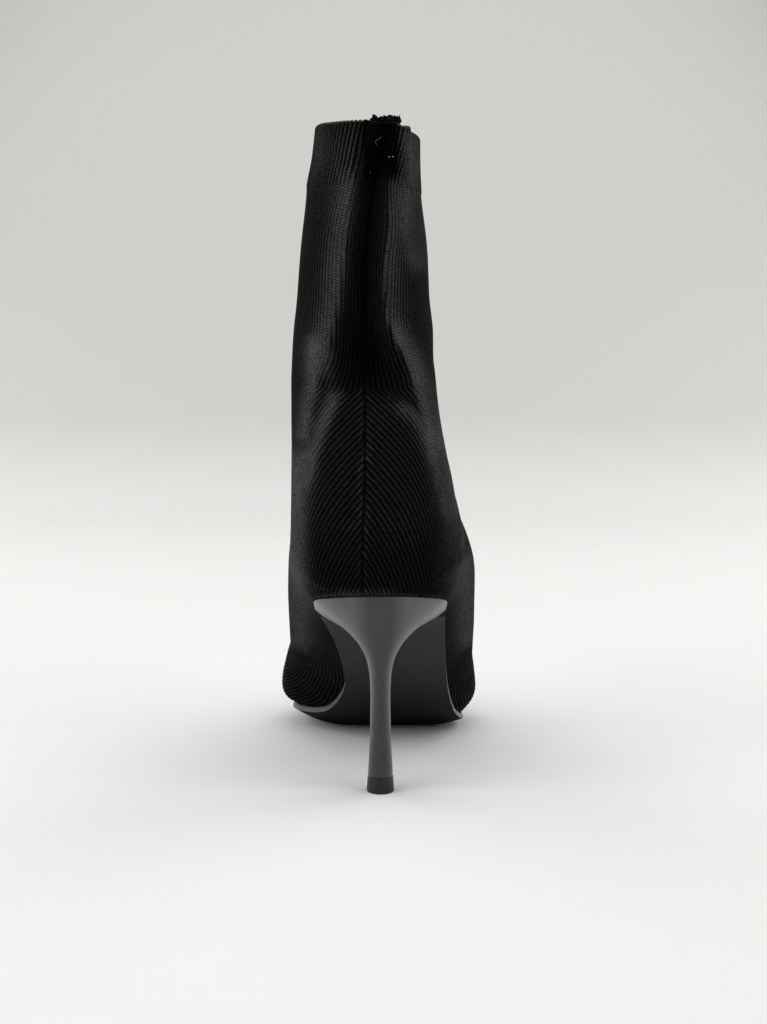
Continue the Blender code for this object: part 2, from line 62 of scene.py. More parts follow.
def last_origin() -> np.ndarray:
    """Place of the last's own origin in the frame, in millimetres, read from heel and top piece."""
    tip_low, tip_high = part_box("top_piece")
    heel_low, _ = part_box("heel")
    heel_back = 0.2
    return np.array(((tip_low.x + tip_high.x) / 2 / MM, heel_low.y / MM - heel_back, 0.0))


ORIGIN = last_origin()


def smooth_curve(places: Sequence[float], values: Sequence[float]) -> Curve:
    """Make a curve that runs smoothly through values and never overshoots them.

    Args:
        places: Rising places of the known values.
        values: The known values.

    Returns:
        A function from a place, or an array of places, to the value there.
    """
    at = np.asarray(places, dtype=float)
    known = np.asarray(values, dtype=float)
    widths = np.diff(at)
    rises = np.diff(known) / widths
    slopes = np.concatenate((rises[:1], np.zeros(len(rises) - 1), rises[-1:]))
    for inner in range(1, len(rises)):
        before, after = rises[inner - 1], rises[inner]
        if before * after > 0:
            slopes[inner] = 2 * before * after / (before + after)

    def curve(place: Any) -> Any:
        """Value of the smooth curve at a place."""
        place = np.clip(place, at[0], at[-1])
        index = np.clip(np.searchsorted(at, place) - 1, 0, len(widths) - 1)
        width = widths[index]
        t = (place - at[index]) / width
        start = (1 + 2 * t) * (1 - t) ** 2 * known[index] + t * (1 - t) ** 2 * width * slopes[index]
        end = t ** 2 * (3 - 2 * t) * known[index + 1] - t ** 2 * (1 - t) * width * slopes[index + 1]
        return start + end

    return curve


def column_curve(rows: Sequence[NamedTuple], place: str, value: str, scale: float = 1.0) -> Curve:
    """Smooth curve of one named column of a table against another."""
    return smooth_curve([getattr(row, place) for row in rows], [getattr(row, value) * scale for row in rows])


def ease(value: Any, low: float, high: float) -> Any:
    """Soft step from 0 at low to 1 at high."""
    t = np.clip((value - low) / (high - low), 0.0, 1.0)
    return t * t * (3 - 2 * t)


class SoleRow(NamedTuple):
    """Sole's line: shares of length, heel rise and ball width, and each edge's lift in millimetres."""

    along: float
    height: float
    medial: float
    lateral: float
    medial_rise: float
    lateral_rise: float


class Section(NamedTuple):
    """One section of the upper, from its base on the sole or the back line to its top on the vamp or front line."""

    name: str
    base_y: float
    base_z: float | None
    top_y: float
    top_z: float
    medial: float
    lateral: float
    medial_at: float
    lateral_at: float
    crown: float
    back: float


class SlackRow(NamedTuple):
    """Pleat down the back of the slack shaft at one height: its ridges, its valley on the seam and both depths."""

    height: float
    left: float
    valley: float
    right: float
    depth: float
    slit: float


class WaleRow(NamedTuple):
    """Knitting at one place of the upper's edge: the first wale there and the spacing of the wales beside it."""

    place: float
    first: float
    pitch: float


class Band(NamedTuple):
    """Soft band along a line of (x, z) on the boot's back, used as a crease's rise in millimetres, a share of painted
    highlight and a share of painted shade.
    """

    name: str
    line: tuple[tuple[float, float], ...]
    amount: float
    left_width: float
    right_width: float
    taper: float = 0.14

    def share(self, points: np.ndarray) -> np.ndarray:
        """Strength of the band at each point: 1 on its line, less to either side and towards its ends."""
        line = np.array(self.line, dtype=float)
        steps = np.linalg.norm(np.diff(line, axis=0), axis=1)
        begins = np.concatenate(([0.0], np.cumsum(steps)))
        flat = points[:, (0, 2)]
        nearest = np.full(len(points), np.inf)
        signed = np.zeros(len(points))
        along = np.zeros(len(points))
        for start, end, begin, step in zip(line, line[1:], begins, steps):
            way = (end - start) / step
            reach = np.clip((flat - start) @ way, 0.0, step)
            off = flat - start - reach[:, None] * way
            distance = np.linalg.norm(off, axis=1)
            closer = distance < nearest
            nearest[closer] = distance[closer]
            signed[closer] = (way[0] * off[:, 1] - way[1] * off[:, 0])[closer]
            along[closer] = (begin + reach)[closer]
        along /= begins[-1]
        ends = ease(along, 0.0, self.taper) * ease(1 - along, 0.0, self.taper)
        width = np.where(signed < 0, self.left_width, self.right_width)
        return np.exp(-(nearest / width) ** 2) * ends


@dataclass(frozen=True)
class Last:
    """The boot's form: its sole line and the sections of its upper."""

    length: float = 240.0
    heel_height: float = 87.0
    ball_width: float = 93.0
    collar_height: float = 281.0
    collar_dip: float = 2.4
    dip_from: float = 220.0
    wall: float = 1.8
    cuff_step: float = 0.4
    cuff_depth: float = 25.0
    gap: float = 0.3
    sole_thickness: float = 2.6
    seat_radius: float = 28.0
    seam_x: float = -6.0
    heel_breast: float = 46.0
    toe_round: float = 229.0
    toe_x: float = -4.0
    toe_fullness: float = 1.6
    crown_fullness: float = 2.1
    heel_fullness: float = 2.4
    flat_from: float = 0.30
    flat_to: float = 0.80
    fold_reach: float = 40.0
    dense: int = 160
    sole_rows: tuple[SoleRow, ...] = (
        SoleRow(0.000, 1.000, 0.301, 0.301, 0.0, 0.0),
        SoleRow(0.117, 0.922, 0.301, 0.301, 0.0, 0.0),
        SoleRow(0.208, 0.826, 0.275, 0.303, 0.0, 0.0),
        SoleRow(0.312, 0.624, 0.210, 0.312, 0.0, 0.0),
        SoleRow(0.417, 0.375, 0.176, 0.330, 0.0, 0.0),
        SoleRow(0.521, 0.147, 0.262, 0.372, 1.5, 0.8),
        SoleRow(0.610, 0.030, 0.398, 0.418, 6.2, 2.6),
        SoleRow(0.658, 0.000, 0.452, 0.428, 8.4, 3.4),
        SoleRow(0.725, 0.000, 0.456, 0.408, 8.4, 3.6),
        SoleRow(0.792, 0.000, 0.396, 0.342, 6.6, 3.2),
        SoleRow(0.875, 0.014, 0.280, 0.214, 3.4, 2.2),
        SoleRow(0.925, 0.036, 0.206, 0.130, 1.4, 1.2),
        SoleRow(0.954, 0.054, 0.158, 0.076, 0.0, 0.0),
        SoleRow(1.000, 0.082, 0.158, 0.076, 0.0, 0.0),
    )
    sections: tuple[Section, ...] = (
        Section("toe edge", 229.0, None, 240.0, 9.8, 14.7, 7.1, 0.01, 0.01, -4.0, 0.0),
        Section("toe nose", 226.5, None, 239.7, 13.2, 16.6, 9.0, 0.20, 0.20, -4.1, 0.0),
        Section("toe", 221.0, None, 236.2, 18.2, 20.6, 13.5, 0.22, 0.22, -4.2, 0.0),
        Section("toe box", 208.0, None, 225.0, 26.0, 29.6, 23.2, 0.28, 0.28, -4.4, 0.0),
        Section("vamp", 190.0, None, 206.0, 34.4, 40.4, 36.0, 0.34, 0.32, -4.7, 0.0),
        Section("ball front", 174.0, None, 188.0, 43.0, 46.6, 43.8, 0.36, 0.32, -5.0, 0.0),
        Section("ball", 158.0, None, 171.0, 51.5, 49.4, 47.2, 0.36, 0.32, -5.4, 0.0),
        Section("ball back", 140.0, None, 154.0, 63.0, 47.2, 45.8, 0.38, 0.36, -6.0, 0.0),
        Section("waist front", 122.0, None, 140.0, 76.0, 43.4, 44.0, 0.44, 0.42, -6.5, 0.0),
        Section("waist", 104.0, None, 129.5, 88.0, 43.2, 44.0, 0.46, 0.45, -7.0, 0.0),
        Section("waist back", 85.0, None, 121.0, 100.0, 43.0, 43.6, 0.46, 0.46, -7.2, 0.0),
        Section("breast", 65.0, None, 113.5, 113.5, 42.2, 43.0, 0.46, 0.46, -7.3, 0.1),
        Section("seat front", 46.0, None, 108.0, 126.0, 41.0, 40.4, 0.42, 0.42, -7.4, 0.5),
        Section("seat", 28.0, None, 104.2, 138.0, 39.6, 37.0, 0.38, 0.38, -7.4, 0.9),
        Section("heel point", 0.0, 87.0, 100.4, 155.0, 38.5, 33.6, 0.37, 0.39, -7.4, 1.0),
        Section("heel low", -3.2, 98.0, 99.8, 159.5, 38.3, 31.9, 0.40, 0.42, -7.4, 1.0),
        Section("heel curve", -4.8, 112.0, 99.2, 165.0, 38.2, 29.5, 0.44, 0.45, -7.4, 1.0),
        Section("counter", -4.0, 130.0, 98.6, 172.0, 38.2, 26.8, 0.48, 0.48, -7.4, 1.0),
        Section("counter high", -1.0, 150.0, 98.1, 180.5, 38.3, 24.8, 0.48, 0.50, -7.4, 1.0),
        Section("counter top", 3.0, 164.5, 97.7, 188.0, 38.4, 23.8, 0.48, 0.52, -7.4, 1.0),
        Section("ankle fold", 8.6, 173.0, 97.4, 194.0, 38.2, 23.0, 0.47, 0.54, -7.4, 1.0),
        Section("ankle", 10.0, 186.0, 97.1, 202.0, 37.6, 22.9, 0.46, 0.56, -7.3, 1.0),
        Section("shaft low", 9.6, 205.0, 96.8, 214.0, 35.9, 21.3, 0.46, 0.58, -7.1, 1.0),
        Section("shaft", 9.0, 228.0, 96.4, 232.0, 34.2, 20.4, 0.46, 0.60, -6.8, 1.0),
        Section("under cuff", 8.4, 255.0, 96.0, 255.0, 31.5, 17.7, 0.46, 0.64, -6.2, 1.0),
        Section("cuff", 8.4, 256.0, 96.0, 256.0, 31.2, 17.5, 0.46, 0.64, -6.2, 1.0),
        Section("cuff middle", 8.2, 268.5, 95.8, 268.5, 28.9, 17.0, 0.47, 0.66, -5.6, 1.0),
        Section("collar", 8.0, 281.0, 95.5, 281.0, 27.4, 16.9, 0.48, 0.68, -5.0, 1.0),
    )
    slack: tuple[SlackRow, ...] = (
        SlackRow(87.0, -20.0, -7.6, 16.0, 0.0, 0.0),
        SlackRow(106.0, -20.0, -7.3, 16.0, 0.0, 0.0),
        SlackRow(127.0, -20.0, -6.6, 16.0, 0.0, 0.0),
        SlackRow(147.0, -20.0, -6.4, 16.0, 0.0, 0.0),
        SlackRow(160.0, -20.0, -6.3, 16.0, 0.0, 0.0),
        SlackRow(168.0, -19.5, -6.5, 17.5, 2.5, 0.0),
        SlackRow(174.0, -20.5, -6.6, 16.0, 6.5, 0.6),
        SlackRow(181.0, -21.4, -6.5, 11.8, 10.0, 1.4),
        SlackRow(188.0, -21.0, -6.5, 7.8, 11.5, 1.8),
        SlackRow(195.0, -20.2, -6.6, 4.2, 11.0, 1.8),
        SlackRow(203.0, -18.8, -6.7, 2.4, 10.0, 1.8),
        SlackRow(212.0, -16.9, -6.7, 2.2, 9.0, 1.7),
        SlackRow(222.0, -15.9, -6.6, 2.2, 8.5, 1.5),
        SlackRow(234.0, -14.8, -5.5, 2.8, 8.0, 1.0),
        SlackRow(246.0, -13.6, -4.2, 3.4, 8.0, 0.4),
        SlackRow(256.0, -12.3, -3.3, 4.5, 8.5, 0.2),
        SlackRow(266.0, -10.0, -1.0, 6.6, 9.0, 0.4),
        SlackRow(281.0, -5.5, 0.2, 10.8, 10.0, 0.6),
    )
    slack_floor: float = 1.6
    slit_width: float = 1.3
    dip_start: float = 4.0
    dip_end: float = 11.0
    notch_x: float = 12.0
    notch_depth: float = 1.1
    corner_x: float = 20.0
    corner_lift: float = 0.5

    def __post_init__(self) -> None:
        """Work out the smooth curves through the tables."""
        curves: dict[str, Curve] = {}
        tread = self.sole_thickness + self.gap
        curves["rise"] = column_curve(self.sole_rows, "along", "height", self.heel_height - tread)
        curves["medial"] = column_curve(self.sole_rows, "along", "medial", -self.ball_width)
        curves["lateral"] = column_curve(self.sole_rows, "along", "lateral", self.ball_width)
        curves["medial_rise"] = column_curve(self.sole_rows, "along", "medial_rise")
        curves["lateral_rise"] = column_curve(self.sole_rows, "along", "lateral_rise")
        closed = [row for row in self.sections if row.base_z is not None]
        curves["back_line"] = column_curve(closed, "base_z", "base_y")
        for column in SlackRow._fields[1:]:
            curves["slack_" + column] = column_curve(self.slack, "height", column)
        for column in Section._fields[3:]:
            curves["row_" + column] = smooth_curve(
                range(len(self.sections)), [getattr(row, column) for row in self.sections])
        object.__setattr__(self, "curves", curves)

    def bed_height(self, y: Any) -> Any:
        """Height of the upper's edge along the sole's middle line."""
        return self.sole_thickness + self.gap + self.curves["rise"](y / self.length)

    def edge_x(self, y: float, side: int, inset: float = 0.0) -> float:
        """Sideways place of the upper's edge.

        Args:
            y: Place along the foot.
            side: -1 for the inner edge, 1 for the outer one.
            inset: How far inside the edge.

        Returns:
            The place across the foot.
        """
        edge = float(self.curves["lateral" if side > 0 else "medial"](y / self.length)) - side * inset
        if y < self.seat_radius:
            beyond = (self.seat_radius - y) / (self.seat_radius - inset)
            return self.seam_x + (edge - self.seam_x) * sqrt(max(0.0, 1 - beyond ** 2))
        if y > self.toe_round:
            beyond = (y - self.toe_round) / (self.length - self.toe_round - inset)
            share = max(0.0, 1 - beyond ** self.toe_fullness) ** (1 / self.toe_fullness)
            return self.toe_x + (edge - self.toe_x) * share
        return edge

    def edge_rise(self, share: float, y: float) -> float:
        """Lift of the sole's surface above its middle, at a share of its width from the inner edge."""
        inner = max(0.0, self.flat_from - share) / self.flat_from
        outer = max(0.0, share - self.flat_to) / (1 - self.flat_to)
        along = y / self.length
        return float(inner ** 2 * self.curves["medial_rise"](along) + outer ** 2 * self.curves["lateral_rise"](along))

    def steep(self, y: float) -> float:
        """Upright share of a thickness laid square to the sole's slope."""
        step = 1.0
        slope = (self.bed_height(y + step) - self.bed_height(y - step)) / (2 * step)
        return sqrt(1 + float(slope) ** 2)

    def sole_sheet(self, stations: Sequence[float], shares: Sequence[float], inset: float,
                   offset: float) -> np.ndarray:
        """Grid of points on the sole's surface.

        Args:
            stations: Places along the foot, one row of points each.
            shares: Places across each row, 0 at the inner edge and 1 at the outer one.
            inset: How far inside the upper's edge the sheet ends.
            offset: Height above the surface, square to it.

        Returns:
            Points in millimetres, rows by columns by three.
        """
        rows = []
        for y in stations:
            inner, outer = self.edge_x(y, -1, inset), self.edge_x(y, 1, inset)
            full_inner, full_outer = self.edge_x(y, -1), self.edge_x(y, 1)
            row = []
            for share in shares:
                x = inner + (outer - inner) * share
                across = min(1.0, max(0.0, (x - full_inner) / max(self.gap, full_outer - full_inner)))
                row.append((x, y, float(self.bed_height(y)) + self.edge_rise(across, y) + offset * self.steep(y)))
            rows.append(row)
        return np.array(rows)

    def between(self, index: int, share: float) -> Section:
        """Section part of the way from one table row to the next."""
        first, second = self.sections[index], self.sections[index + 1]
        numbers = {column: float(self.curves["row_" + column](index + share)) for column in Section._fields[3:]}
        base_y = first.base_y + (second.base_y - first.base_y) * share
        base_z = None
        if first.name == "seat":
            base_y = self.seat_radius * (1 - cos(0.5 * pi * (1 - share)))
        if first.base_z is not None and second.base_z is not None:
            base_z = first.base_z + (second.base_z - first.base_z) * share
            base_y = float(self.curves["back_line"](base_z))
        return Section(first.name, base_y, base_z, **numbers)

    def on_sole(self, y: float) -> Section:
        """Section whose base stands on the sole at a place along the foot, in front of the seat."""
        for index, (row, after) in enumerate(zip(self.sections, self.sections[1:])):
            if row.base_y >= y >= after.base_y and after.base_z is None:
                return self.between(index, (row.base_y - y) / (row.base_y - after.base_y))
        raise ValueError(f"no section stands on the sole at {y}")

    def on_seat(self, share: float) -> Section:
        """Section on the round of the seat, 0 at its side and towards 1 at its back."""
        names = [row.name for row in self.sections]
        return self.between(names.index("seat"), share)

    def on_back(self, z: float) -> Section:
        """Section whose base stands on the back seam at a height."""
        for index, (row, after) in enumerate(zip(self.sections, self.sections[1:])):
            if row.base_z is not None and row.base_z <= z <= after.base_z:
                return self.between(index, (z - row.base_z) / (after.base_z - row.base_z))
        raise ValueError(f"no section stands on the back seam at {z}")

    def half_line(self, section: Section, side: int) -> np.ndarray:
        """Dense line of half a section.

        Args:
            section: The section.
            side: -1 for the inner half, 1 for the outer one.

        Returns:
            Points in millimetres from the sole's edge or the seam to the crown.
        """
        on_sole = section.base_z is None
        base_z = float(self.bed_height(section.base_y)) if on_sole else section.base_z
        rise_vector = np.array((0.0, section.top_y - section.base_y, section.top_z - base_z))
        height = float(np.linalg.norm(rise_vector))
        widest = section.lateral if side > 0 else -section.medial
        seam = self.seam_x if on_sole else float(self.curves["slack_valley"](base_z))
        start = self.edge_x(section.base_y, side) if on_sole else seam
        lift = self.edge_rise(1.0 if side > 0 else 0.0, section.base_y) if on_sole else 0.0
        widest_up = (section.lateral_at if side > 0 else section.medial_at) * height
        t = np.linspace(0.0, 1.0, self.dense)
        foot_x = start + (widest - start) * np.sin(t * pi / 2)
        foot_up = t * widest_up
        power = 2 / self.heel_fullness
        cut = min(1.0, max(0.0, (start - seam) / (widest - seam)))
        first_turn = np.arcsin(cut ** (1 / power))
        turn = first_turn + t * (pi / 2 - first_turn)
        first_level = cos(first_turn) ** power
        heel_x = seam + (widest - seam) * np.sin(turn) ** power
        heel_up = widest_up * (first_level - np.abs(np.cos(turn)) ** power) / first_level
        low_x = foot_x + (heel_x - foot_x) * section.back
        low_up = foot_up + (heel_up - foot_up) * section.back
        crown_power = 2 / (self.toe_fullness if section.name == "toe edge" else self.crown_fullness)
        top_x = section.crown + (widest - section.crown) * np.abs(np.cos(t * pi / 2)) ** crown_power
        top_up = widest_up + (height - widest_up) * np.sin(t * pi / 2) ** crown_power
        across = np.concatenate((low_x, top_x[1:]))
        up = np.concatenate((low_up, top_up[1:]))
        lifted = np.concatenate((lift * (1 - t) ** 2, np.zeros(self.dense - 1)))
        points = np.array((0.0, section.base_y, base_z)) + up[:, None] * rise_vector / height
        points[:, 0] += across
        points[:, 2] += lifted
        return self.slacken(points, section)

    def pleat(self, points: np.ndarray) -> tuple[np.ndarray, np.ndarray]:
        """Share of the back pleat's depth at each point, round at its ridges, and how near the seam's slit is."""
        z = points[:, 2]
        left, valley, right = (self.curves["slack_" + name](z) for name in ("left", "valley", "right"))
        off = points[:, 0] - valley
        reach = np.where(off < 0, valley - left, right - valley)
        outside = np.clip(np.abs(off) / reach, 0.0, 1.0)
        return np.cos(0.5 * pi * outside) ** self.slack_floor, np.exp(-(off / self.slit_width) ** 2)

    def slacken(self, points: np.ndarray, section: Section) -> np.ndarray:
        """Press the back pleat into a line of points, dip the rim's outer side and set the cuff proud."""
        slack = points.copy()
        z = points[:, 2]
        floor, slit = self.pleat(points)
        depth = self.curves["slack_depth"](z) * floor + self.curves["slack_slit"](z) * slit
        forward = np.clip((points[:, 1] - section.base_y) / self.fold_reach, 0.0, 1.0)
        slack[:, 1] += depth * (1 - forward) ** 2
        shaft = np.clip((z - self.dip_from) / (self.collar_height - self.dip_from), 0.0, 1.0)
        dip = self.collar_dip * ease(points[:, 0], self.dip_start, self.dip_end)
        notch = self.notch_depth * ease(points[:, 0], self.notch_x - 0.5, self.notch_x + 0.5)
        corner = self.corner_lift * ease(-points[:, 0], self.corner_x, self.corner_x + 6.0)
        slack[:, 2] -= dip * shaft + (notch - corner) * shaft ** 6
        if section.base_z is not None:
            border = self.collar_height - self.cuff_depth
            middle = np.array(((section.lateral - section.medial) / 2, (section.base_y + section.top_y) / 2, 0.0))
            outward = (points - middle) * (1.0, 1.0, 0.0)
            outward /= np.linalg.norm(outward, axis=1)[:, None]
            slack += self.cuff_step * ease(section.base_z, border - 1.0, border) * outward
        return slack


LAST = Last()


def linear(colour: str) -> tuple[float, float, float, float]:
    """Linear colour of an sRGB hex value."""
    parts = [int(colour[place:place + 2], 16) / 255 for place in (1, 3, 5)]
    red, green, blue = (part / 12.92 if part <= 0.04045 else ((part + 0.055) / 1.055) ** 2.4 for part in parts)
    return red, green, blue, 1.0


def per_mm(size: float) -> float:
    """Texture scale, in Object coordinates, of a pattern whose repeat is a size in millimetres."""
    return 1 / (size * MM)


def add_node(tree: bpy.types.NodeTree, kind: str, inputs: dict[Any, Any] | None = None, **settings: Any) -> Any:
    """Add a node with its settings and links.

    Args:
        tree: The node tree.
        kind: Blender's name of the node type.
        inputs: Value, or output socket to link, of each input named by name or number.
        settings: Properties of the node.

    Returns:
        The new node.
    """
    node = tree.nodes.new(kind)
    for name, value in settings.items():
        setattr(node, name, value)
    for name, value in (inputs or {}).items():
        socket = node.inputs[name]
        if isinstance(value, bpy.types.NodeSocket):
            tree.links.new(value, socket)
        else:
            socket.default_value = value
    return node


def new_material(name: str, **shader_values: Any) -> tuple[bpy.types.Material, bpy.types.NodeTree, Any]:
    """Make an empty material with its shader.

    Args:
        name: The material's name.
        shader_values: Constants of the shader's sockets, with underscores for spaces.

    Returns:
        The material, its node tree and its shader node.
    """
    material = bpy.data.materials.new(name)
    material.use_nodes = True
    tree = material.node_tree
    shader = tree.nodes["Principled BSDF"]
    for socket, value in shader_values.items():
        shader.inputs[socket.replace("_", " ")].default_value = value
    return material, tree, shader


@dataclass(frozen=True)
class RibKnit:
    """Flat-knitted polyester and elastane rib: matt black yarn whose loops catch light only at a grazing angle."""

    name: str = "polyester_rib_knit"
    # Painted shade in the rib grooves: black where the crest share is low.
    valley: str = "#000000"
    crest: str = "#272828"
    # Pale tone of the painted highlight, laid where flanks and ridges of the black knit catch the side lights.
    nap: str = "#767877"
    rim: str = "#4c4c40"
    # Black laid by the seam share: painted shade in the pleat, its slit and bell, on the lower counter and on the
    # ball's edge, and over the black sewing at the cuff's back.
    thread: str = "#010101"
    course_mm: float = 1.15
    stagger: float = 2.4
    fuzz_mm: float = 0.7
    patch_mm: float = 14.0
    stitch_share: float = 0.11
    loop_low: float = 0.1
    # Painted highlight also pulls the ribs' painted groove shade towards one even level.
    rubbed_most: float = 0.8
    rubbed_level: float = 0.6
    patch_low: float = 0.8
    gleam: float = 0.1
    bump: float = 0.8
    bump_mm: float = 0.16

    def material(self) -> bpy.types.Material:
        """Material whose stitches follow the wales of the piece's own map."""
        material, tree, shader = new_material(
            self.name, Roughness=0.92, IOR=1.45, Sheen_Roughness=0.35, Sheen_Tint=linear("#e6e8e6"))
        place = add_node(tree, "ShaderNodeTexCoord").outputs["Object"]
        wales = add_node(tree, "ShaderNodeUVMap", uv_map="wales").outputs[0]
        along = add_node(tree, "ShaderNodeSeparateXYZ", {0: wales})
        # Crest share: 0 in a rib groove, where shade is painted, to 1 on a crest.
        rib = add_node(tree, "ShaderNodeAttribute", attribute_name="rib").outputs["Fac"]
        rim = add_node(tree, "ShaderNodeAttribute", attribute_name="rim").outputs["Fac"]
        # Seam share: painted shade, with the black sewing at the cuff's back.
        seam = add_node(tree, "ShaderNodeAttribute", attribute_name="seam").outputs["Fac"]
        wale = add_node(tree, "ShaderNodeMath", {0: along.outputs[0]}, operation="FLOOR").outputs[0]
        stagger = add_node(tree, "ShaderNodeMath", {0: wale, 1: self.stagger}, operation="MULTIPLY").outputs[0]
        phase = add_node(
            tree, "ShaderNodeMath", {0: along.outputs[1], 1: 2 * pi / self.course_mm, 2: stagger},
            operation="MULTIPLY_ADD").outputs[0]
        stitch = add_node(tree, "ShaderNodeMath", {0: phase}, operation="SINE").outputs[0]
        fuzz = add_node(
            tree, "ShaderNodeTexNoise", {"Vector": place, "Scale": per_mm(self.fuzz_mm), "Detail": 3.0})
        patch = add_node(
            tree, "ShaderNodeTexNoise", {"Vector": place, "Scale": per_mm(self.patch_mm), "Detail": 2.0})
        # Share of painted highlight, read from the piece's attribute.
        nap = add_node(tree, "ShaderNodeAttribute", attribute_name="nap").outputs["Fac"]
        beads = add_node(
            tree, "ShaderNodeMath", {0: stitch, 1: self.stitch_share, 2: fuzz.outputs[0]}, operation="MULTIPLY_ADD")
        loops = add_node(
            tree, "ShaderNodeMapRange",
            {0: beads.outputs[0], 1: 0.24, 2: 0.76, 3: self.loop_low, 4: 1.0}).outputs[0]
        # Where highlight is painted, the ribs' tone is flattened, as the crests hide the grooves at a grazing angle.
        rubbed = add_node(
            tree, "ShaderNodeMapRange", {0: nap, 1: 0.2, 2: 0.8, 3: 0.0, 4: self.rubbed_most}).outputs[0]
        level = add_node(tree, "ShaderNodeMix", {0: rubbed, 2: rib, 3: self.rubbed_level}).outputs[0]
        tone = add_node(tree, "ShaderNodeMath", {0: level, 1: loops}, operation="MULTIPLY").outputs[0]
        worn = add_node(
            tree, "ShaderNodeMapRange",
            {0: patch.outputs[0], 1: 0.3, 2: 0.7, 3: self.patch_low, 4: 1.0}).outputs[0]
        lit = add_node(tree, "ShaderNodeMath", {0: tone, 1: worn}, operation="MULTIPLY", use_clamp=True).outputs[0]
        gleam = add_node(tree, "ShaderNodeMapRange", {0: lit, 3: 0.0, 4: self.gleam}).outputs[0]
        for socket in ("Specular IOR Level", "Sheen Weight"):
            tree.links.new(gleam, shader.inputs[socket])
        # Crest tone, paler where highlight is painted.
        tones = {6: linear(self.crest), 7: linear(self.nap)}
        crest = add_node(tree, "ShaderNodeMix", {0: nap, **tones}, data_type="RGBA").outputs[2]
        # Yarn tone from the painted groove shade up to the crest tone.
        yarn = add_node(
            tree, "ShaderNodeMix", {0: lit, 6: linear(self.valley), 7: crest}, data_type="RGBA").outputs[2]
        rolled = add_node(
            tree, "ShaderNodeMix", {0: rim, 6: yarn, 7: linear(self.rim)}, data_type="RGBA").outputs[2]
        # Black of painted shade and sewing, mixed in by the seam share.
        with_painted_shade = add_node(
            tree, "ShaderNodeMix", {0: seam, 6: rolled, 7: linear(self.thread)}, data_type="RGBA").outputs[2]
        tree.links.new(with_painted_shade, shader.inputs["Base Color"])
        bump = add_node(
            tree, "ShaderNodeBump",
            {"Strength": self.bump, "Distance": self.bump_mm * MM, "Height": beads.outputs[0]})
        tree.links.new(bump.outputs[0], shader.inputs["Normal"])
        return material


@dataclass(frozen=True)
class Lacquer:
    """Satin lacquer on a moulded heel: dark grey, smooth, with soft reflections, bright rims and a painted highlight on
    its flared sides.
    """

    name: str = "satin_heel_lacquer"
    low: str = "#1a1c1c"
    high: str = "#222424"
    # Paler tone painted out on the flared sides as highlight, where they turn to the side lights.
    flare: str = "#4a4c4c"
    flare_from: float = 4.5
    flare_to: float = 12.0
    cloud_mm: float = 18.0
    orange_peel_mm: float = 1.6

    def material(self) -> bpy.types.Material:
        """Material with faint clouds, a painted highlight out on the flared sides, and the slight ripple of sprayed
        lacquer.
        """
        material, tree, shader = new_material(
            self.name, IOR=1.5, Coat_Weight=0.5, Coat_Roughness=0.36, Specular_IOR_Level=0.4)
        place = add_node(tree, "ShaderNodeTexCoord").outputs["Object"]
        cloud = add_node(
            tree, "ShaderNodeTexNoise", {"Vector": place, "Scale": per_mm(self.cloud_mm), "Detail": 3.0})
        tones = {6: linear(self.low), 7: linear(self.high)}
        body = add_node(tree, "ShaderNodeMix", {0: cloud.outputs[0], **tones}, data_type="RGBA").outputs[2]
        # Painted highlight: paler the farther out across the flared part.
        across = add_node(tree, "ShaderNodeSeparateXYZ", {0: place}).outputs[0]
        aside = add_node(tree, "ShaderNodeMath", {0: across, 1: ORIGIN[0] * MM}, operation="SUBTRACT").outputs[0]
        out = add_node(tree, "ShaderNodeMath", {0: aside}, operation="ABSOLUTE").outputs[0]
        flared = add_node(
            tree, "ShaderNodeMapRange", {0: out, 1: self.flare_from * MM, 2: self.flare_to * MM}).outputs[0]
        colour = add_node(tree, "ShaderNodeMix", {0: flared, 6: body, 7: linear(self.flare)}, data_type="RGBA")
        tree.links.new(colour.outputs[2], shader.inputs["Base Color"])
        rough = add_node(tree, "ShaderNodeMapRange", {0: cloud.outputs[0], 3: 0.42, 4: 0.54}).outputs[0]
        tree.links.new(rough, shader.inputs["Roughness"])
        peel = add_node(
            tree, "ShaderNodeTexNoise", {"Vector": place, "Scale": per_mm(self.orange_peel_mm), "Detail": 1.0})
        bump = add_node(
            tree, "ShaderNodeBump", {"Strength": 0.15, "Distance": 0.02 * MM, "Height": peel.outputs[0]})
        tree.links.new(bump.outputs[0], shader.inputs["Normal"])
        return material


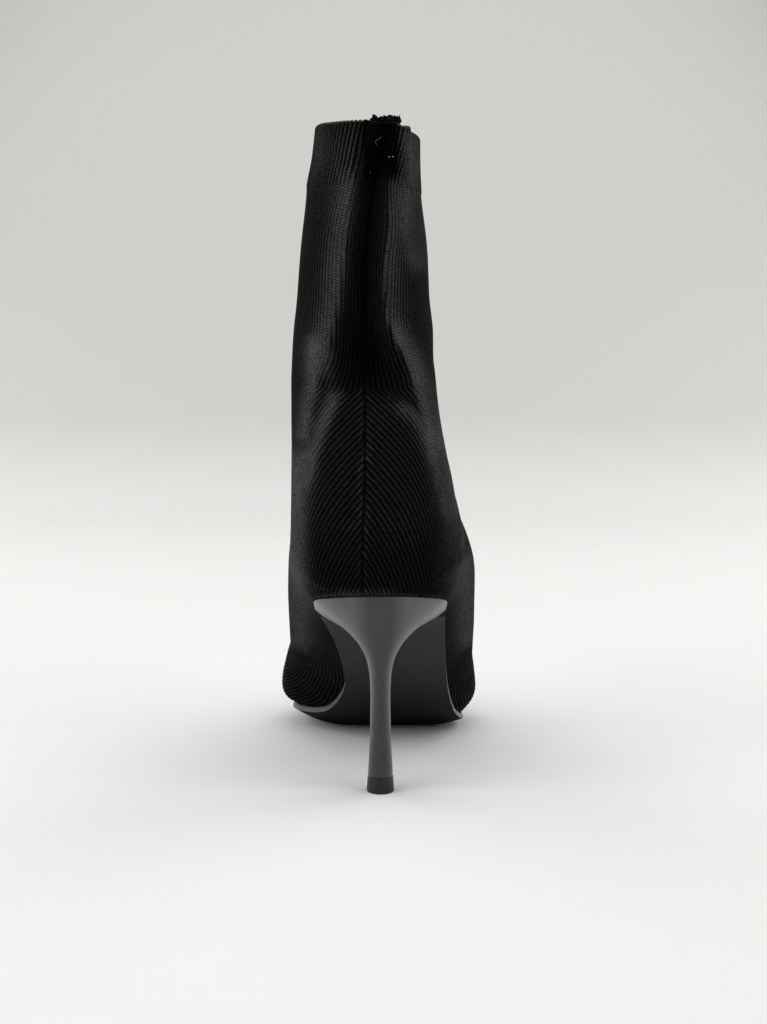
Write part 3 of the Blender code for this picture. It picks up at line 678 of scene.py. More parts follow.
@dataclass(frozen=True)
class MattRubber:
    """Moulded rubber: matt, finely grained, with rubbed paler places."""

    name: str
    low: str
    high: str
    roughness: float = 0.7
    grain_mm: float = 0.5
    rub_mm: float = 9.0
    gloss: float = 0.42
    # Painted shade near the floor, where the sole turns down away from the light.
    ground: str = "#010101"
    ground_from: float = 5.0
    ground_to: float = 45.0
    grounded: bool = False

    def material(self) -> bpy.types.Material:
        """Material with fine grain and slow changes of tone, and, when asked for, painted shade that turns it black and
        dull towards the floor.
        """
        material, tree, shader = new_material(
            self.name, Roughness=self.roughness, IOR=1.52, Specular_IOR_Level=self.gloss)
        place = add_node(tree, "ShaderNodeTexCoord").outputs["Object"]
        rub = add_node(tree, "ShaderNodeTexNoise", {"Vector": place, "Scale": per_mm(self.rub_mm), "Detail": 4.0})
        tones = {6: linear(self.low), 7: linear(self.high)}
        tone = add_node(tree, "ShaderNodeMix", {0: rub.outputs[0], **tones}, data_type="RGBA").outputs[2]
        if self.grounded:
            height = add_node(tree, "ShaderNodeSeparateXYZ", {0: place}).outputs[2]
            # Unshaded share: 0 in the painted shade by the floor, 1 higher up; the reflection fades with it too.
            clean = add_node(
                tree, "ShaderNodeMapRange",
                {0: height, 1: self.ground_from * MM, 2: self.ground_to * MM}).outputs[0]
            tone = add_node(
                tree, "ShaderNodeMix", {0: clean, 6: linear(self.ground), 7: tone}, data_type="RGBA").outputs[2]
            sheen = add_node(tree, "ShaderNodeMapRange", {0: clean, 3: 0.02, 4: self.gloss}).outputs[0]
            tree.links.new(sheen, shader.inputs["Specular IOR Level"])
        tree.links.new(tone, shader.inputs["Base Color"])
        grain = add_node(
            tree, "ShaderNodeTexNoise", {"Vector": place, "Scale": per_mm(self.grain_mm), "Detail": 2.0})
        bump = add_node(
            tree, "ShaderNodeBump", {"Strength": 0.4, "Distance": 0.06 * MM, "Height": grain.outputs[0]})
        tree.links.new(bump.outputs[0], shader.inputs["Normal"])
        return material


@dataclass(frozen=True)
class WovenCloth:
    """Plain woven cloth: crossed threads that break up the light, with a faint nap."""

    name: str
    low: str
    high: str
    thread_mm: float = 0.8
    sheen: float = 0.15
    gloss: float = 0.5

    def material(self) -> bpy.types.Material:
        """Material with warp and weft as two crossed sets of bands."""
        material, tree, shader = new_material(
            self.name, Roughness=0.9, Sheen_Weight=self.sheen, Sheen_Roughness=0.5, Specular_IOR_Level=self.gloss)
        place = add_node(tree, "ShaderNodeTexCoord").outputs["Object"]
        bands = {
            axis: add_node(
                tree, "ShaderNodeTexWave",
                {"Vector": place, "Scale": per_mm(self.thread_mm) / 20, "Distortion": 0.6},
                bands_direction=axis).outputs[1]
            for axis in ("X", "Y")
        }
        weave = add_node(
            tree, "ShaderNodeMath", {0: bands["X"], 1: bands["Y"]}, operation="MULTIPLY").outputs[0]
        tones = {6: linear(self.low), 7: linear(self.high)}
        cloth = add_node(tree, "ShaderNodeMix", {0: weave, **tones}, data_type="RGBA").outputs[2]
        tree.links.new(cloth, shader.inputs["Base Color"])
        bump = add_node(tree, "ShaderNodeBump", {"Strength": 0.5, "Distance": 0.1 * MM, "Height": weave})
        tree.links.new(bump.outputs[0], shader.inputs["Normal"])
        return material


@dataclass(frozen=True)
class StudioPaper:
    """Seamless paper sweep: pale, matt and even, with painted shade that makes it a little darker where it hangs as the
    wall.
    """

    name: str = "seamless_paper"
    low: str = "#eff0ed"
    high: str = "#f2f3f0"
    # Painted shade of the wall, which gets less light than the floor.
    wall: str = "#dedfdb"
    wall_from: float = 15.0
    wall_to: float = 90.0
    mottle_mm: float = 60.0

    def material(self) -> bpy.types.Material:
        """Material with barely visible mottling and painted shade up the wall."""
        material, tree, shader = new_material(self.name, Roughness=0.8, Specular_IOR_Level=0.2)
        place = add_node(tree, "ShaderNodeTexCoord").outputs["Object"]
        mottle = add_node(tree, "ShaderNodeTexNoise", {"Vector": place, "Scale": per_mm(self.mottle_mm)})
        tones = {6: linear(self.low), 7: linear(self.high)}
        floor = add_node(tree, "ShaderNodeMix", {0: mottle.outputs[0], **tones}, data_type="RGBA").outputs[2]
        height = add_node(tree, "ShaderNodeSeparateXYZ", {0: place}).outputs[2]
        wall_shade = add_node(
            tree, "ShaderNodeMapRange", {0: height, 1: self.wall_from * MM, 2: self.wall_to * MM}).outputs[0]
        sheet = add_node(
            tree, "ShaderNodeMix", {0: wall_shade, 6: floor, 7: linear(self.wall)}, data_type="RGBA").outputs[2]
        tree.links.new(sheet, shader.inputs["Base Color"])
        return material


class Shading(Enum):
    """How a finished mesh is shaded."""

    SMOOTH = "smooth"
    BY_ANGLE = "by angle"


def to_frame(points: np.ndarray) -> np.ndarray:
    """Points of the last in millimetres as points of the frame in metres."""
    return (np.asarray(points, dtype=float) + ORIGIN) * MM


def deselect() -> None:
    """Leave edit mode and select nothing."""
    if bpy.context.object and bpy.context.object.mode != "OBJECT":
        bpy.ops.object.mode_set(mode="OBJECT")
    bpy.ops.object.select_all(action="DESELECT")


def apply_modifier(piece: bpy.types.Object, kind: str, **settings: Any) -> None:
    """Add a modifier with its settings to a piece and apply it."""
    modifier = piece.modifiers.new(kind.lower(), kind)
    for name, value in settings.items():
        setattr(modifier, name, value)
    deselect()
    piece.select_set(True)
    bpy.context.view_layer.objects.active = piece
    bpy.ops.object.modifier_apply(modifier=modifier.name)


def lay_grid(name: str, points: np.ndarray, closed: bool = False, capped: bool = False) -> bpy.types.Object:
    """Lay a grid over rows of points.

    Args:
        name: The piece's name.
        points: Rows by columns by three, in the last's millimetres.
        closed: Whether each row closes into a ring.
        capped: Whether the first and last rows are closed with faces.

    Returns:
        The new piece.
    """
    if closed:
        points = np.concatenate((points, points[:, :1]), axis=1)
    rows, columns, _ = points.shape
    deselect()
    bpy.ops.mesh.primitive_grid_add(x_subdivisions=columns - 1, y_subdivisions=rows - 1, size=1.0)
    piece = bpy.context.object
    piece.name = name
    piece.data.name = name
    piece.data.vertices.foreach_set("co", to_frame(points.reshape(-1, 3)).ravel())
    bpy.ops.object.mode_set(mode="EDIT")
    bpy.ops.mesh.select_all(action="SELECT")
    bpy.ops.mesh.remove_doubles(threshold=0.005 * MM)
    if capped:
        bpy.ops.mesh.select_all(action="DESELECT")
        bpy.ops.mesh.select_mode(type="EDGE")
        bpy.ops.mesh.select_non_manifold()
        bpy.ops.mesh.fill_holes(sides=0)
    bpy.ops.mesh.select_all(action="SELECT")
    bpy.ops.mesh.normals_make_consistent(inside=False)
    bpy.ops.object.mode_set(mode="OBJECT")
    return piece


def shade(piece: bpy.types.Object, shading: Shading, degrees: float = 35.0) -> None:
    """Shade a piece smooth all over, or smooth with its sharp edges kept."""
    deselect()
    piece.select_set(True)
    bpy.context.view_layer.objects.active = piece
    if shading is Shading.SMOOTH:
        bpy.ops.object.shade_smooth()
    else:
        bpy.ops.object.shade_smooth_by_angle(angle=radians(degrees))


def settle(piece: bpy.types.Object, node: str | None = None) -> None:
    """Ride a finished piece on the boot and hide the node that it stands for."""
    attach(piece, BODY)
    if node:
        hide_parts(node)
    piece.data.calc_loop_triangles()
    LOG.info("%s: %d triangles", piece.name, len(piece.data.loop_triangles))


class KnitRow(NamedTuple):
    """One row of the knit: its two half lines, its first wale, the spacing there and where its base stands."""

    left: np.ndarray
    right: np.ndarray
    first: float
    pitch: float
    height: float | None


@dataclass
class KnitUpper:
    """The knitted sock: a dense outer face whose columns follow the wales, a rolled rim and an inner face."""

    wales: int = 108
    heel_wales: int = 27
    wale_rise: float = 3.66
    wale_rise_loss: float = 0.0204
    columns_a_wale: int = 4
    foot_step: float = 4.0
    seat_rows: int = 10
    shaft_step: float = 2.8
    rim_radius: float = 1.1
    rim_rows: int = 6
    rib_depth: float = 0.5
    shaft_rib_depth: float = 0.3
    cuff_rib_depth: float = 0.75
    seam_depth: float = 0.6
    seam_wander: float = 0.45
    # Power that deepens the painted shade in the rib grooves.
    rib_contrast: float = 1.5
    # Painted highlight on loose loops beside the back seam and on the rib ends over the seat.
    seam_nap: float = 0.5
    seat_nap: float = 0.5
    loop_columns: int = 2
    seed: int = 3
    finish: RibKnit = field(default_factory=RibKnit)
    rib_profile: tuple[float, ...] = (1.0, 0.3, 0.0, 0.3)
    cuff_profile: tuple[float, ...] = (1.0, 0.95, 0.0, 0.0, 0.35)
    sole_wales: tuple[WaleRow, ...] = (
        WaleRow(28.0, 16.0, 1.9), WaleRow(46.0, 22.0, 1.9), WaleRow(65.0, 27.0, 1.9), WaleRow(85.0, 31.0, 2.0),
        WaleRow(104.0, 33.5, 2.2), WaleRow(122.0, 35.0, 2.4), WaleRow(140.0, 36.5, 2.5), WaleRow(158.0, 38.5, 2.5),
        WaleRow(174.0, 43.0, 2.3), WaleRow(190.0, 54.0, 2.0), WaleRow(208.0, 69.0, 1.7), WaleRow(221.0, 83.0, 1.4),
        WaleRow(229.0, 92.0, 1.2),
    )
    back_pitches: tuple[tuple[float, float], ...] = (
        (87.0, 1.8), (100.0, 2.1), (112.0, 2.4), (130.0, 2.8), (150.0, 3.0), (165.0, 2.9), (171.0, 2.6), (182.0, 2.1),
        (200.0, 2.0), (234.0, 1.9), (255.0, 1.55), (281.0, 1.72),
    )
    creases: tuple[Band, ...] = (
        Band("inner pleat ridge", ((-6.6, 281), (-9.1, 269), (-11.5, 261), (-13.6, 246), (-14.8, 233), (-16.2, 221),
                                   (-17.4, 211), (-19, 204), (-20.6, 193), (-21.3, 178), (-19.5, 171)),
             1.3, 6.0, 3.0),
        Band("outer pleat ridge", ((4.4, 255), (2.8, 233), (2.2, 212), (2.8, 200), (5.2, 193), (9.4, 185.5),
                                   (13.4, 178.4), (17.2, 168), (20.4, 155), (27, 141)), 1.5, 1.3, 4.0),
        Band("outer soft ridge", ((11.5, 287), (11, 266), (10.6, 255), (9.8, 246), (9.4, 230)), 1.2, 2.4, 1.0),
        Band("counter top", ((-0.9, 166.8), (6.5, 166), (11.8, 164.2), (16, 159.6), (20.7, 150.2), (25.1, 141.6)),
             0.7, 4.0, 2.0),
        Band("counter trough", ((3, 171.5), (10, 170), (15.8, 165), (19.6, 156.5), (24.6, 147)), -1.5, 2.4, 2.6),
        Band("inner outside ridge", ((-27.6, 184), (-28.4, 173), (-30.8, 161.6), (-33, 152)), 0.5, 3.6, 3.0),
        Band("inner trough", ((-23, 178), (-25, 167), (-28.2, 157), (-31.6, 146)), -0.5, 2.8, 2.8),
        Band("counter inner edge", ((-17.5, 171), (-21.5, 163), (-25.6, 152.5), (-29.4, 143), (-33, 129.5)), 0.4,
             3.0, 3.6),
    )
    # Bands of painted highlight on flanks and ridges that catch the side lights, laid only on faces that turn towards
    # the back.
    naps: tuple[Band, ...] = (
        Band("inner pleat flank", ((-11.4, 266), (-12.8, 255), (-14.8, 242), (-16.4, 230), (-17.6, 219), (-18.8, 209),
                                   (-20.6, 202), (-23, 192), (-23, 180), (-20.5, 172)), 0.66, 6.0, 3.0),
        Band("outer pleat flank", ((6, 262), (5, 246), (3.8, 230), (2.8, 214), (3.6, 202), (6.4, 194)), 0.45, 1.8, 6.0),
        Band("outer soft ridge", ((11.5, 281), (11, 266), (10.6, 255), (9.8, 242), (12.5, 228), (16, 216)), 0.45, 2.6,
             6.0),
        Band("ankle ridge", ((4, 203), (7.6, 192), (11.8, 184), (15, 175), (17.2, 166), (20.2, 156), (26.4, 142)),
             0.95, 1.6, 4.8),
        Band("counter top", ((4.5, 166), (11.8, 163.6), (16, 158.8), (20.7, 149.4), (25.1, 140.6)), 0.5, 3.6, 1.6),
        Band("inner outside ridge", ((-27.4, 196), (-28.4, 173), (-30.6, 161), (-33, 146)), 0.85, 4.0, 2.6),
        Band("counter inner edge", ((-17.0, 173), (-21.4, 163), (-25.4, 152.5), (-29.2, 143), (-32.8, 130)), 0.8, 3.2,
             2.8),
        Band("counter inner side", ((-31.5, 150), (-35, 128), (-36.4, 110), (-36.8, 84)), 1.0, 6.0, 5.0),
        Band("foot inner side", ((-38, 96), (-37, 75), (-38, 55), (-41, 42)), 0.75, 9.0, 7.0),
        Band("foot outer side", ((36, 100), (37, 90), (38.5, 78), (40, 60), (43, 44)), 0.75, 6.0, 7.0),
        Band("counter outer side", ((22, 150), (28, 128), (32, 110), (33, 96)), 0.25, 4.0, 7.0),
        Band("counter shoulder", ((20, 156), (23.5, 140), (27.5, 126), (31, 112)), 0.35, 3.0, 5.0),
        Band("cuff inner part", ((-30, 270), (-20, 269), (-9, 268)), 0.22, 14.0, 14.0),
        Band("cuff outer part", ((9, 279), (12, 268), (14, 257)), 0.2, 2.0, 5.0),
    )
    # Bands of painted shade: the foot of the counter, turned down away from the light, and the foot of the pleat.
    shades: tuple[Band, ...] = (
        Band("counter foot", ((-32, 96), (-7, 96), (27, 96)), 0.46, 15.0, 15.0),
        Band("pleat foot", ((-19, 186), (-6.5, 184), (8, 186)), 0.3, 8.0, 8.0),
    )
    # Painted shade deep in the back pleat and its bell, and along the ball's edge by the floor.
    fold_shade: float = 0.45
    bell_shade: float = 0.4
    bell_top: float = 204.0
    low_shade: float = 0.88
    low_top: float = 46.0
    low_end: float = 8.0
    # Black patch in the cuff's back fold: painted shade of the deep fold over the seam's black sewing.
    seam_patch: tuple[float, float, float] = (-6.7, 6.1, 257.0)

    @property
    def counter_top(self) -> float:
        """Height where the last chevron of the heel ends and the shaft begins."""
        return self.wale_height(self.heel_wales)

    def wale_height(self, wale: int) -> float:
        """Height where one of the heel's wales meets the back seam; they lie closer towards the top."""
        return LAST.heel_height + wale * (self.wale_rise - self.wale_rise_loss * wale)

    def rows(self) -> list[KnitRow]:
        """Rows of the knit from the toe's edge to just under the rim."""
        sole_first = column_curve(self.sole_wales, "place", "first")
        sole_pitch = column_curve(self.sole_wales, "place", "pitch")
        back_pitch = smooth_curve(*zip(*self.back_pitches))
        rows = []

        def add(section: Section, first: float, pitch: float) -> None:
            """Add the row of one section."""
            rows.append(KnitRow(LAST.half_line(section, -1), LAST.half_line(section, 1), first, pitch,
                                section.base_z))

        toe, nose = LAST.sections[0], LAST.sections[1]
        add(toe, self.sole_wales[-1].first, self.sole_wales[-1].pitch)
        count = round((nose.base_y - LAST.seat_radius) / self.foot_step)
        for y in np.linspace(nose.base_y, LAST.seat_radius, count + 1)[:-1]:
            add(LAST.on_sole(y), float(sole_first(y)), float(sole_pitch(y)))
        seat = self.sole_wales[0]
        for step in range(self.seat_rows):
            share = step / self.seat_rows
            pitch = seat.pitch + (self.back_pitches[0][1] - seat.pitch) * share
            add(LAST.on_seat(share), seat.first * (1 - share), pitch)
        for wale in range(self.heel_wales):
            z = self.wale_height(wale)
            add(LAST.on_back(z), float(wale), float(back_pitch(z)))
        border = LAST.collar_height - LAST.cuff_depth
        top = LAST.collar_height - self.rim_radius
        shaft_count = round((border - 1.0 - self.counter_top) / self.shaft_step)
        heights = [*np.linspace(self.counter_top, border - 1.0, shaft_count + 1), border - 0.5, border]
        heights += list(np.linspace(border, top, 11)[1:])
        for z in heights:
            add(LAST.on_back(float(z)), float(self.heel_wales), float(back_pitch(z)))
        return rows

    def half_places(self, row: KnitRow, line: np.ndarray, wales: np.ndarray) -> np.ndarray:
        """Points of one half of a row at given wales.

        Args:
            row: The row.
            line: Its dense half line.
            wales: Wale coordinates, from the row's first to the crown's.

        Returns:
            Points in millimetres.
        """
        lengths = np.concatenate(([0.0], np.cumsum(np.linalg.norm(np.diff(line, axis=0), axis=1))))
        count = self.wales - row.first
        slope = float(np.clip(lengths[-1] / (count * row.pitch), 0.25, 1.5))
        share = (wales - row.first) / count
        curve = 1 - slope
        if abs(curve) > 1e-6:
            share = (np.sqrt(slope ** 2 + 4 * curve * share) - slope) / (2 * curve)
        places = share * lengths[-1]
        return np.column_stack([np.interp(places, lengths, line[:, axis]) for axis in range(3)])

    def build(self) -> bpy.types.Object:
        """Model the sock and dress it."""
        rows = self.rows()
        vertices: list[np.ndarray] = []
        wale_of: list[float] = []
        row_of: list[int] = []
        outer = [self.add_row(row, number, vertices, wale_of, row_of) for number, row in enumerate(rows)]
        for step in range(1, self.rim_rows + 1):
            outer.append(self.add_rim_row(outer[len(rows) - 1], step, vertices, wale_of, row_of, len(rows) - 1))
        faces = self.skin(outer)
        base = np.array(vertices)
        normals = self.vertex_normals(base, faces)
        folded = base + normals * self.fold_offsets(base, normals)[:, None]
        normals = self.vertex_normals(folded, faces)
        relief, rib = self.relief(rows, outer, np.array(wale_of), np.array(row_of))
        knitted = folded - normals * relief[:, None]
        knitted[:, 0] += self.seam_offsets(rows, outer, len(knitted))
        courses = self.courses(outer, folded)
        numbers, inner, inner_points = self.inner_rows(rows, outer, folded, normals, len(vertices))
        everything = np.concatenate((knitted, inner_points))
        faces += self.skin(inner[::-1])
        faces += self.joins(rows, outer, numbers, inner)
        knit = self.mesh(everything, faces)
        extra = len(inner_points)
        uv = np.column_stack((wale_of, courses))
        self.write_map(knit, np.concatenate((uv, np.zeros((extra, 2)))))
        rim = np.array(row_of) >= len(rows)
        # Share of painted shade and black sewing.
        patch = self.seam_patch_share(knitted, normals)
        # Share of painted highlight.
        nap = self.nap_share(rows, outer, folded, normals)
        self.write_attribute(knit, "rib", np.concatenate((rib, np.full(extra, 0.6))))
        self.write_attribute(knit, "rim", np.concatenate((rim * 0.7, np.zeros(extra))))
        self.write_attribute(knit, "seam", np.concatenate((patch, np.zeros(extra))))
        self.write_attribute(knit, "nap", np.concatenate((nap, np.zeros(extra))))
        knit.data.materials.append(self.finish.material())
        shade(knit, Shading.SMOOTH)
        settle(knit, "upper")
        return knit

    def add_row(self, row: KnitRow, number: int, vertices: list[np.ndarray], wale_of: list[float],
                row_of: list[int]) -> list[int]:
        """Add one row's vertices and return their numbers by column, from the inner edge over the crown.

        Args:
            row: The row.
            number: Its number.
            vertices: All vertices so far, which grows.
            wale_of: Each vertex's wale, which grows.
            row_of: Each vertex's row, which grows.

        Returns:
            A vertex number for every column; columns before the first wale share the edge's vertex.
        """
        columns = self.columns_a_wale
        last = self.wales * columns
        start = int(np.floor(row.first * columns + 1e-6)) + 1
        own = np.arange(start, last + 1) / columns
        wales = np.concatenate(([row.first], own))
        left = self.half_places(row, row.left, wales)
        right = self.half_places(row, row.right, wales)
        closed = row.height is not None
        first = len(vertices)
        vertices.extend(left)
        right_part = right[1:-1][::-1] if closed else right[:-1][::-1]
        vertices.extend(right_part)
        right_wales = wales[1:-1][::-1] if closed else wales[:-1][::-1]
        wale_of.extend(wales)
        wale_of.extend(right_wales)
        row_of.extend([number] * (len(vertices) - first))
        numbers = [first] * start + list(range(first + 1, first + len(left)))
        numbers += list(range(first + len(left), len(vertices)))
        right_edge = first if closed else len(vertices) - 1
        return numbers + [right_edge] * (2 * last + 1 - len(numbers))

    def add_rim_row(self, collar: list[int], step: int, vertices: list[np.ndarray], wale_of: list[float],
                    row_of: list[int], number: int) -> list[int]:
        """Add one row of the rolled rim above the collar's row and return its vertex numbers by column."""
        own = list(dict.fromkeys(collar))
        line = np.array([vertices[index] for index in own])
        along = np.roll(line, -1, axis=0) - np.roll(line, 1, axis=0)
        outward = np.column_stack((-along[:, 1], along[:, 0], np.zeros(len(line))))
        outward /= np.linalg.norm(outward, axis=1)[:, None]
        turn = pi * step / self.rim_rows
        rolled = line - outward * self.rim_radius * (1 - cos(turn))
        rolled[:, 2] += self.rim_radius * sin(turn)
        first = len(vertices)
        vertices.extend(rolled)
        wale_of.extend(wale_of[index] for index in own)
        row_of.extend([number + step] * len(own))
        renumber = {old: first + place for place, old in enumerate(own)}
        return [renumber[index] for index in collar]

    @staticmethod
    def skin(rows: list[list[int]]) -> list[tuple[int, ...]]:
        """Faces between rows of vertex numbers, without the corners that fall together."""
        faces = []
        for row, following in zip(rows, rows[1:]):
            for column in range(len(row) - 1):
                corners = (row[column], following[column], following[column + 1], row[column + 1])
                corners = tuple(dict.fromkeys(corners))
                if len(corners) > 2:
                    faces.append(corners)
        return faces

    @staticmethod
    def vertex_normals(points: np.ndarray, faces: list[tuple[int, ...]]) -> np.ndarray:
        """Unit normals of the vertices of a face set, each the sum over its corners."""
        three = np.array([face[:3] for face in faces])
        four = np.array([(face[0], face[2], face[3]) for face in faces if len(face) > 3])
        total = np.zeros_like(points)
        for corners in (three, four):
            a, b, c = (points[corners[:, place]] for place in range(3))
            normal = np.cross(b - a, c - a)
            for place in range(3):
                np.add.at(total, corners[:, place], normal)
        return total / np.maximum(np.linalg.norm(total, axis=1), 1e-9)[:, None]

    def fold_offsets(self, points: np.ndarray, normals: np.ndarray) -> np.ndarray:
        """Height of all creases at each point of the outer face, for the points that face backwards."""
        facing = ease(-normals[:, 1], -0.25, 0.25)
        return facing * sum(crease.amount * crease.share(points) for crease in self.creases)

    def nap_share(self, rows: list[KnitRow], outer: list[list[int]], points: np.ndarray,
                  normals: np.ndarray) -> np.ndarray:
        """Share of painted highlight at each point of the outer face.

        Args:
            rows: The rows under the rim.
            outer: Vertex numbers by row and column.
            points: Each vertex's place.
            normals: Each vertex's normal.

        Returns:
            Shares from 0 to 1: painted highlight along the bands, on the rib ends over the seat and on loose seam
                loops.
        """
        # Painted highlight along the bands, only where the face turns towards the back.
        facing = ease(-normals[:, 1], -0.7, 0.0)
        nap = facing * np.clip(sum(band.amount * band.share(points) for band in self.naps), 0.0, 1.0)
        above = points[:, 2] - LAST.bed_height(points[:, 1])
        seat = ease(-points[:, 1], -LAST.seat_radius, -0.5 * LAST.seat_radius)
        nap = np.maximum(nap, self.seat_nap * seat * ease(-above, -1.6, -0.5))
        rng = np.random.default_rng(self.seed)
        for row, numbers in zip(rows, outer):
            if row.height is None or row.height > self.counter_top:
                continue
            start = int(row.first) * self.columns_a_wale + 1
            for column in range(start, start + self.loop_columns):
                for index in (numbers[column], numbers[len(numbers) - 1 - column]):
                    nap[index] = max(nap[index], self.seam_nap * rng.uniform() ** 4)
        return nap

    def relief(self, rows: list[KnitRow], outer: list[list[int]], wale_of: np.ndarray,
               row_of: np.ndarray) -> tuple[np.ndarray, np.ndarray]:
        """Depth of the ribs at each vertex, and how near the vertex is to a rib's crest.

        Args:
            rows: The rows under the rim.
            outer: Vertex numbers by row and column.
            wale_of: Each vertex's wale.
            row_of: Each vertex's row.

        Returns:
            Depths in millimetres and shares from 0 in a valley to 1 on a crest; the material paints shade into the
            valleys by this share.
        """
        column = np.round(wale_of * self.columns_a_wale).astype(int)
        plain = np.array(self.rib_profile)[column % len(self.rib_profile)]
        ribbed = np.array(self.cuff_profile)[column % len(self.cuff_profile)]
        heights = np.array([row.height if row.height is not None else 0.0 for row in rows])
        height = heights[np.minimum(row_of, len(rows) - 1)]
        border = LAST.collar_height - LAST.cuff_depth
        cuff = ease(height, border - 1.0, border)
        shaft = ease(height, self.counter_top - 6.0, self.counter_top + 12.0)
        depth = self.rib_depth + (self.shaft_rib_depth - self.rib_depth) * shaft
        roll = np.clip((row_of - len(rows) + 1) / self.rim_rows, 0.0, 1.0)
        deep = (plain * depth * (1 - cuff) + ribbed * self.cuff_rib_depth * cuff) * (1 - roll)
        valley = plain * (1 - cuff) + ribbed * cuff
        rng = np.random.default_rng(self.seed)
        for row, numbers in zip(rows, outer):
            if row.height is not None and row.height < self.counter_top:
                deep[numbers[0]] = self.seam_depth * rng.uniform(0.2, 1.0)
                valley[numbers[0]] = rng.uniform(0.75, 1.0)
        # Crest share, which sets how much shade the material paints into the grooves.
        return deep, (1 - 0.96 * valley * (1 - roll)) ** self.rib_contrast

    def seam_offsets(self, rows: list[KnitRow], outer: list[list[int]], count: int) -> np.ndarray:
        """Sideways wander of the heel's seam at each vertex, where loops of both sides reach past its line."""
        rng = np.random.default_rng(self.seed)
        offsets = np.zeros(count)
        for row, numbers in zip(rows, outer):
            if row.height is not None and LAST.heel_height < row.height < self.counter_top:
                offsets[numbers[0]] = rng.uniform(-self.seam_wander, self.seam_wander)
        return offsets

    @staticmethod
    def courses(outer: list[list[int]], points: np.ndarray) -> np.ndarray:
        """Distance of each vertex from the rim along its wale, in millimetres."""
        total = np.zeros(len(points))
        for upper, lower in zip(outer[::-1], outer[-2::-1]):
            above, below = np.array(upper), np.array(lower)
            total[below] = total[above] + np.linalg.norm(points[below] - points[above], axis=1)
            total[below[0]] = total[above[0]]
            total[below[-1]] = total[above[-1]]
        return total

    def inner_rows(self, rows: list[KnitRow], outer: list[list[int]], points: np.ndarray, normals: np.ndarray,
                   first: int) -> tuple[list[int], list[list[int]], np.ndarray]:
        """Inner face, a wall inside every second outer row: those rows' numbers, its rows and its points."""
        closed = next(number for number, row in enumerate(rows) if row.height is not None)
        numbers = sorted({*range(0, len(rows) - 3, 2), closed})
        made: dict[int, int] = {}
        inner_points: list[np.ndarray] = []
        inner = []
        for number in numbers:
            line = []
            for index in outer[number][::self.columns_a_wale]:
                if index not in made:
                    made[index] = first + len(inner_points)
                    inner_points.append(points[index] - normals[index] * LAST.wall)
                line.append(made[index])
            inner.append(line)
        return numbers, inner, np.array(inner_points)

    def joins(self, rows: list[KnitRow], outer: list[list[int]], numbers: list[int],
              inner: list[list[int]]) -> list[tuple[int, ...]]:
        """Faces that join outer and inner face along the rim, the toe's edge and the sole's two edges."""
        faces = []
        step = self.columns_a_wale
        rim, top = outer[-1], inner[-1]
        toe, low = outer[0], inner[0]
        for wale in range(len(top) - 1):
            dense = range(wale * step, (wale + 1) * step + 1)
            faces.append((top[wale], top[wale + 1], *(rim[place] for place in reversed(dense))))
            faces.append((low[wale + 1], low[wale], *(toe[place] for place in dense)))
        closed = next(number for number, row in enumerate(rows) if row.height is not None)
        for place, (begin, end) in enumerate(zip(numbers, numbers[1:])):
            if begin >= closed:
                break
            left = [outer[number][0] for number in range(begin, end + 1)]
            right = [outer[number][-1] for number in range(begin, end + 1)]
            faces.append((*reversed(left), inner[place][0], inner[place + 1][0]))
            faces.append((*right, inner[place + 1][-1], inner[place][-1]))
        clean = [tuple(dict.fromkeys(face)) for face in faces]
        return [face for face in clean if len(face) > 2]

    def seam_patch_share(self, points: np.ndarray, normals: np.ndarray) -> np.ndarray:
        """Share of black at each point: painted shade with the black sewing in the cuff's back fold, and painted shade
        in the pleat, its bell and slit, on the lower counter and on the ball's edge.
        """
        # Cuff's back fold: painted shade over the seam's black sewing.
        left, right, low = self.seam_patch
        across = ease(points[:, 0], left - 0.6, left + 0.3) * ease(-points[:, 0], -right - 2.5, -right)
        up = ease(points[:, 2], low, low + 2.0)
        back = ease(-points[:, 1], -LAST.fold_reach, -LAST.fold_reach + 10.0)
        # Painted shade deep in the pleat, darker in its bell, and black in its slit.
        floor, slit = LAST.pleat(points)
        bell = self.bell_shade * ease(-points[:, 2], -self.bell_top, -self.bell_top + 14.0)
        deep = np.maximum((self.fold_shade + bell) * floor, slit)
        deep *= ease(points[:, 2], LAST.slack[5].height - 1.0, LAST.slack[6].height)
        # Painted shade on the ball's edge near the floor, where the face turns back and down.
        turned = ease(-normals[:, 1], 0.0, 0.5)
        edge = self.low_shade * ease(-points[:, 2], -self.low_top, -self.low_end) * turned
        # Painted shade along the shade bands.
        band_shade = sum(band.amount * band.share(points) for band in self.shades)
        return np.maximum.reduce((0.95 * across * up * back, deep * back, band_shade * back, edge))

    @staticmethod
    def mesh(points: np.ndarray, faces: list[tuple[int, ...]]) -> bpy.types.Object:
        """Make the sock's mesh object; its columns follow the wales, which no primitive gives."""
        mesh = bpy.data.meshes.new("knit_upper")
        mesh.from_pydata(to_frame(points), [], faces)
        mesh.validate()
        piece = bpy.data.objects.new("knit_upper", mesh)
        bpy.context.scene.collection.objects.link(piece)
        return piece

    @staticmethod
    def write_map(piece: bpy.types.Object, places: np.ndarray) -> None:
        """Write each vertex's wale and course to the map that the stitches follow."""
        mesh = piece.data
        layer = mesh.uv_layers.new(name="wales")
        corners = np.zeros(len(mesh.loops), dtype=np.int32)
        mesh.loops.foreach_get("vertex_index", corners)
        layer.data.foreach_set("uv", places[corners].astype(np.float32).ravel())

    @staticmethod
    def write_attribute(piece: bpy.types.Object, name: str, values: np.ndarray) -> None:
        """Write one number for each vertex."""
        attribute = piece.data.attributes.new(name, "FLOAT", "POINT")
        attribute.data.foreach_set("value", np.asarray(values, dtype=np.float32))


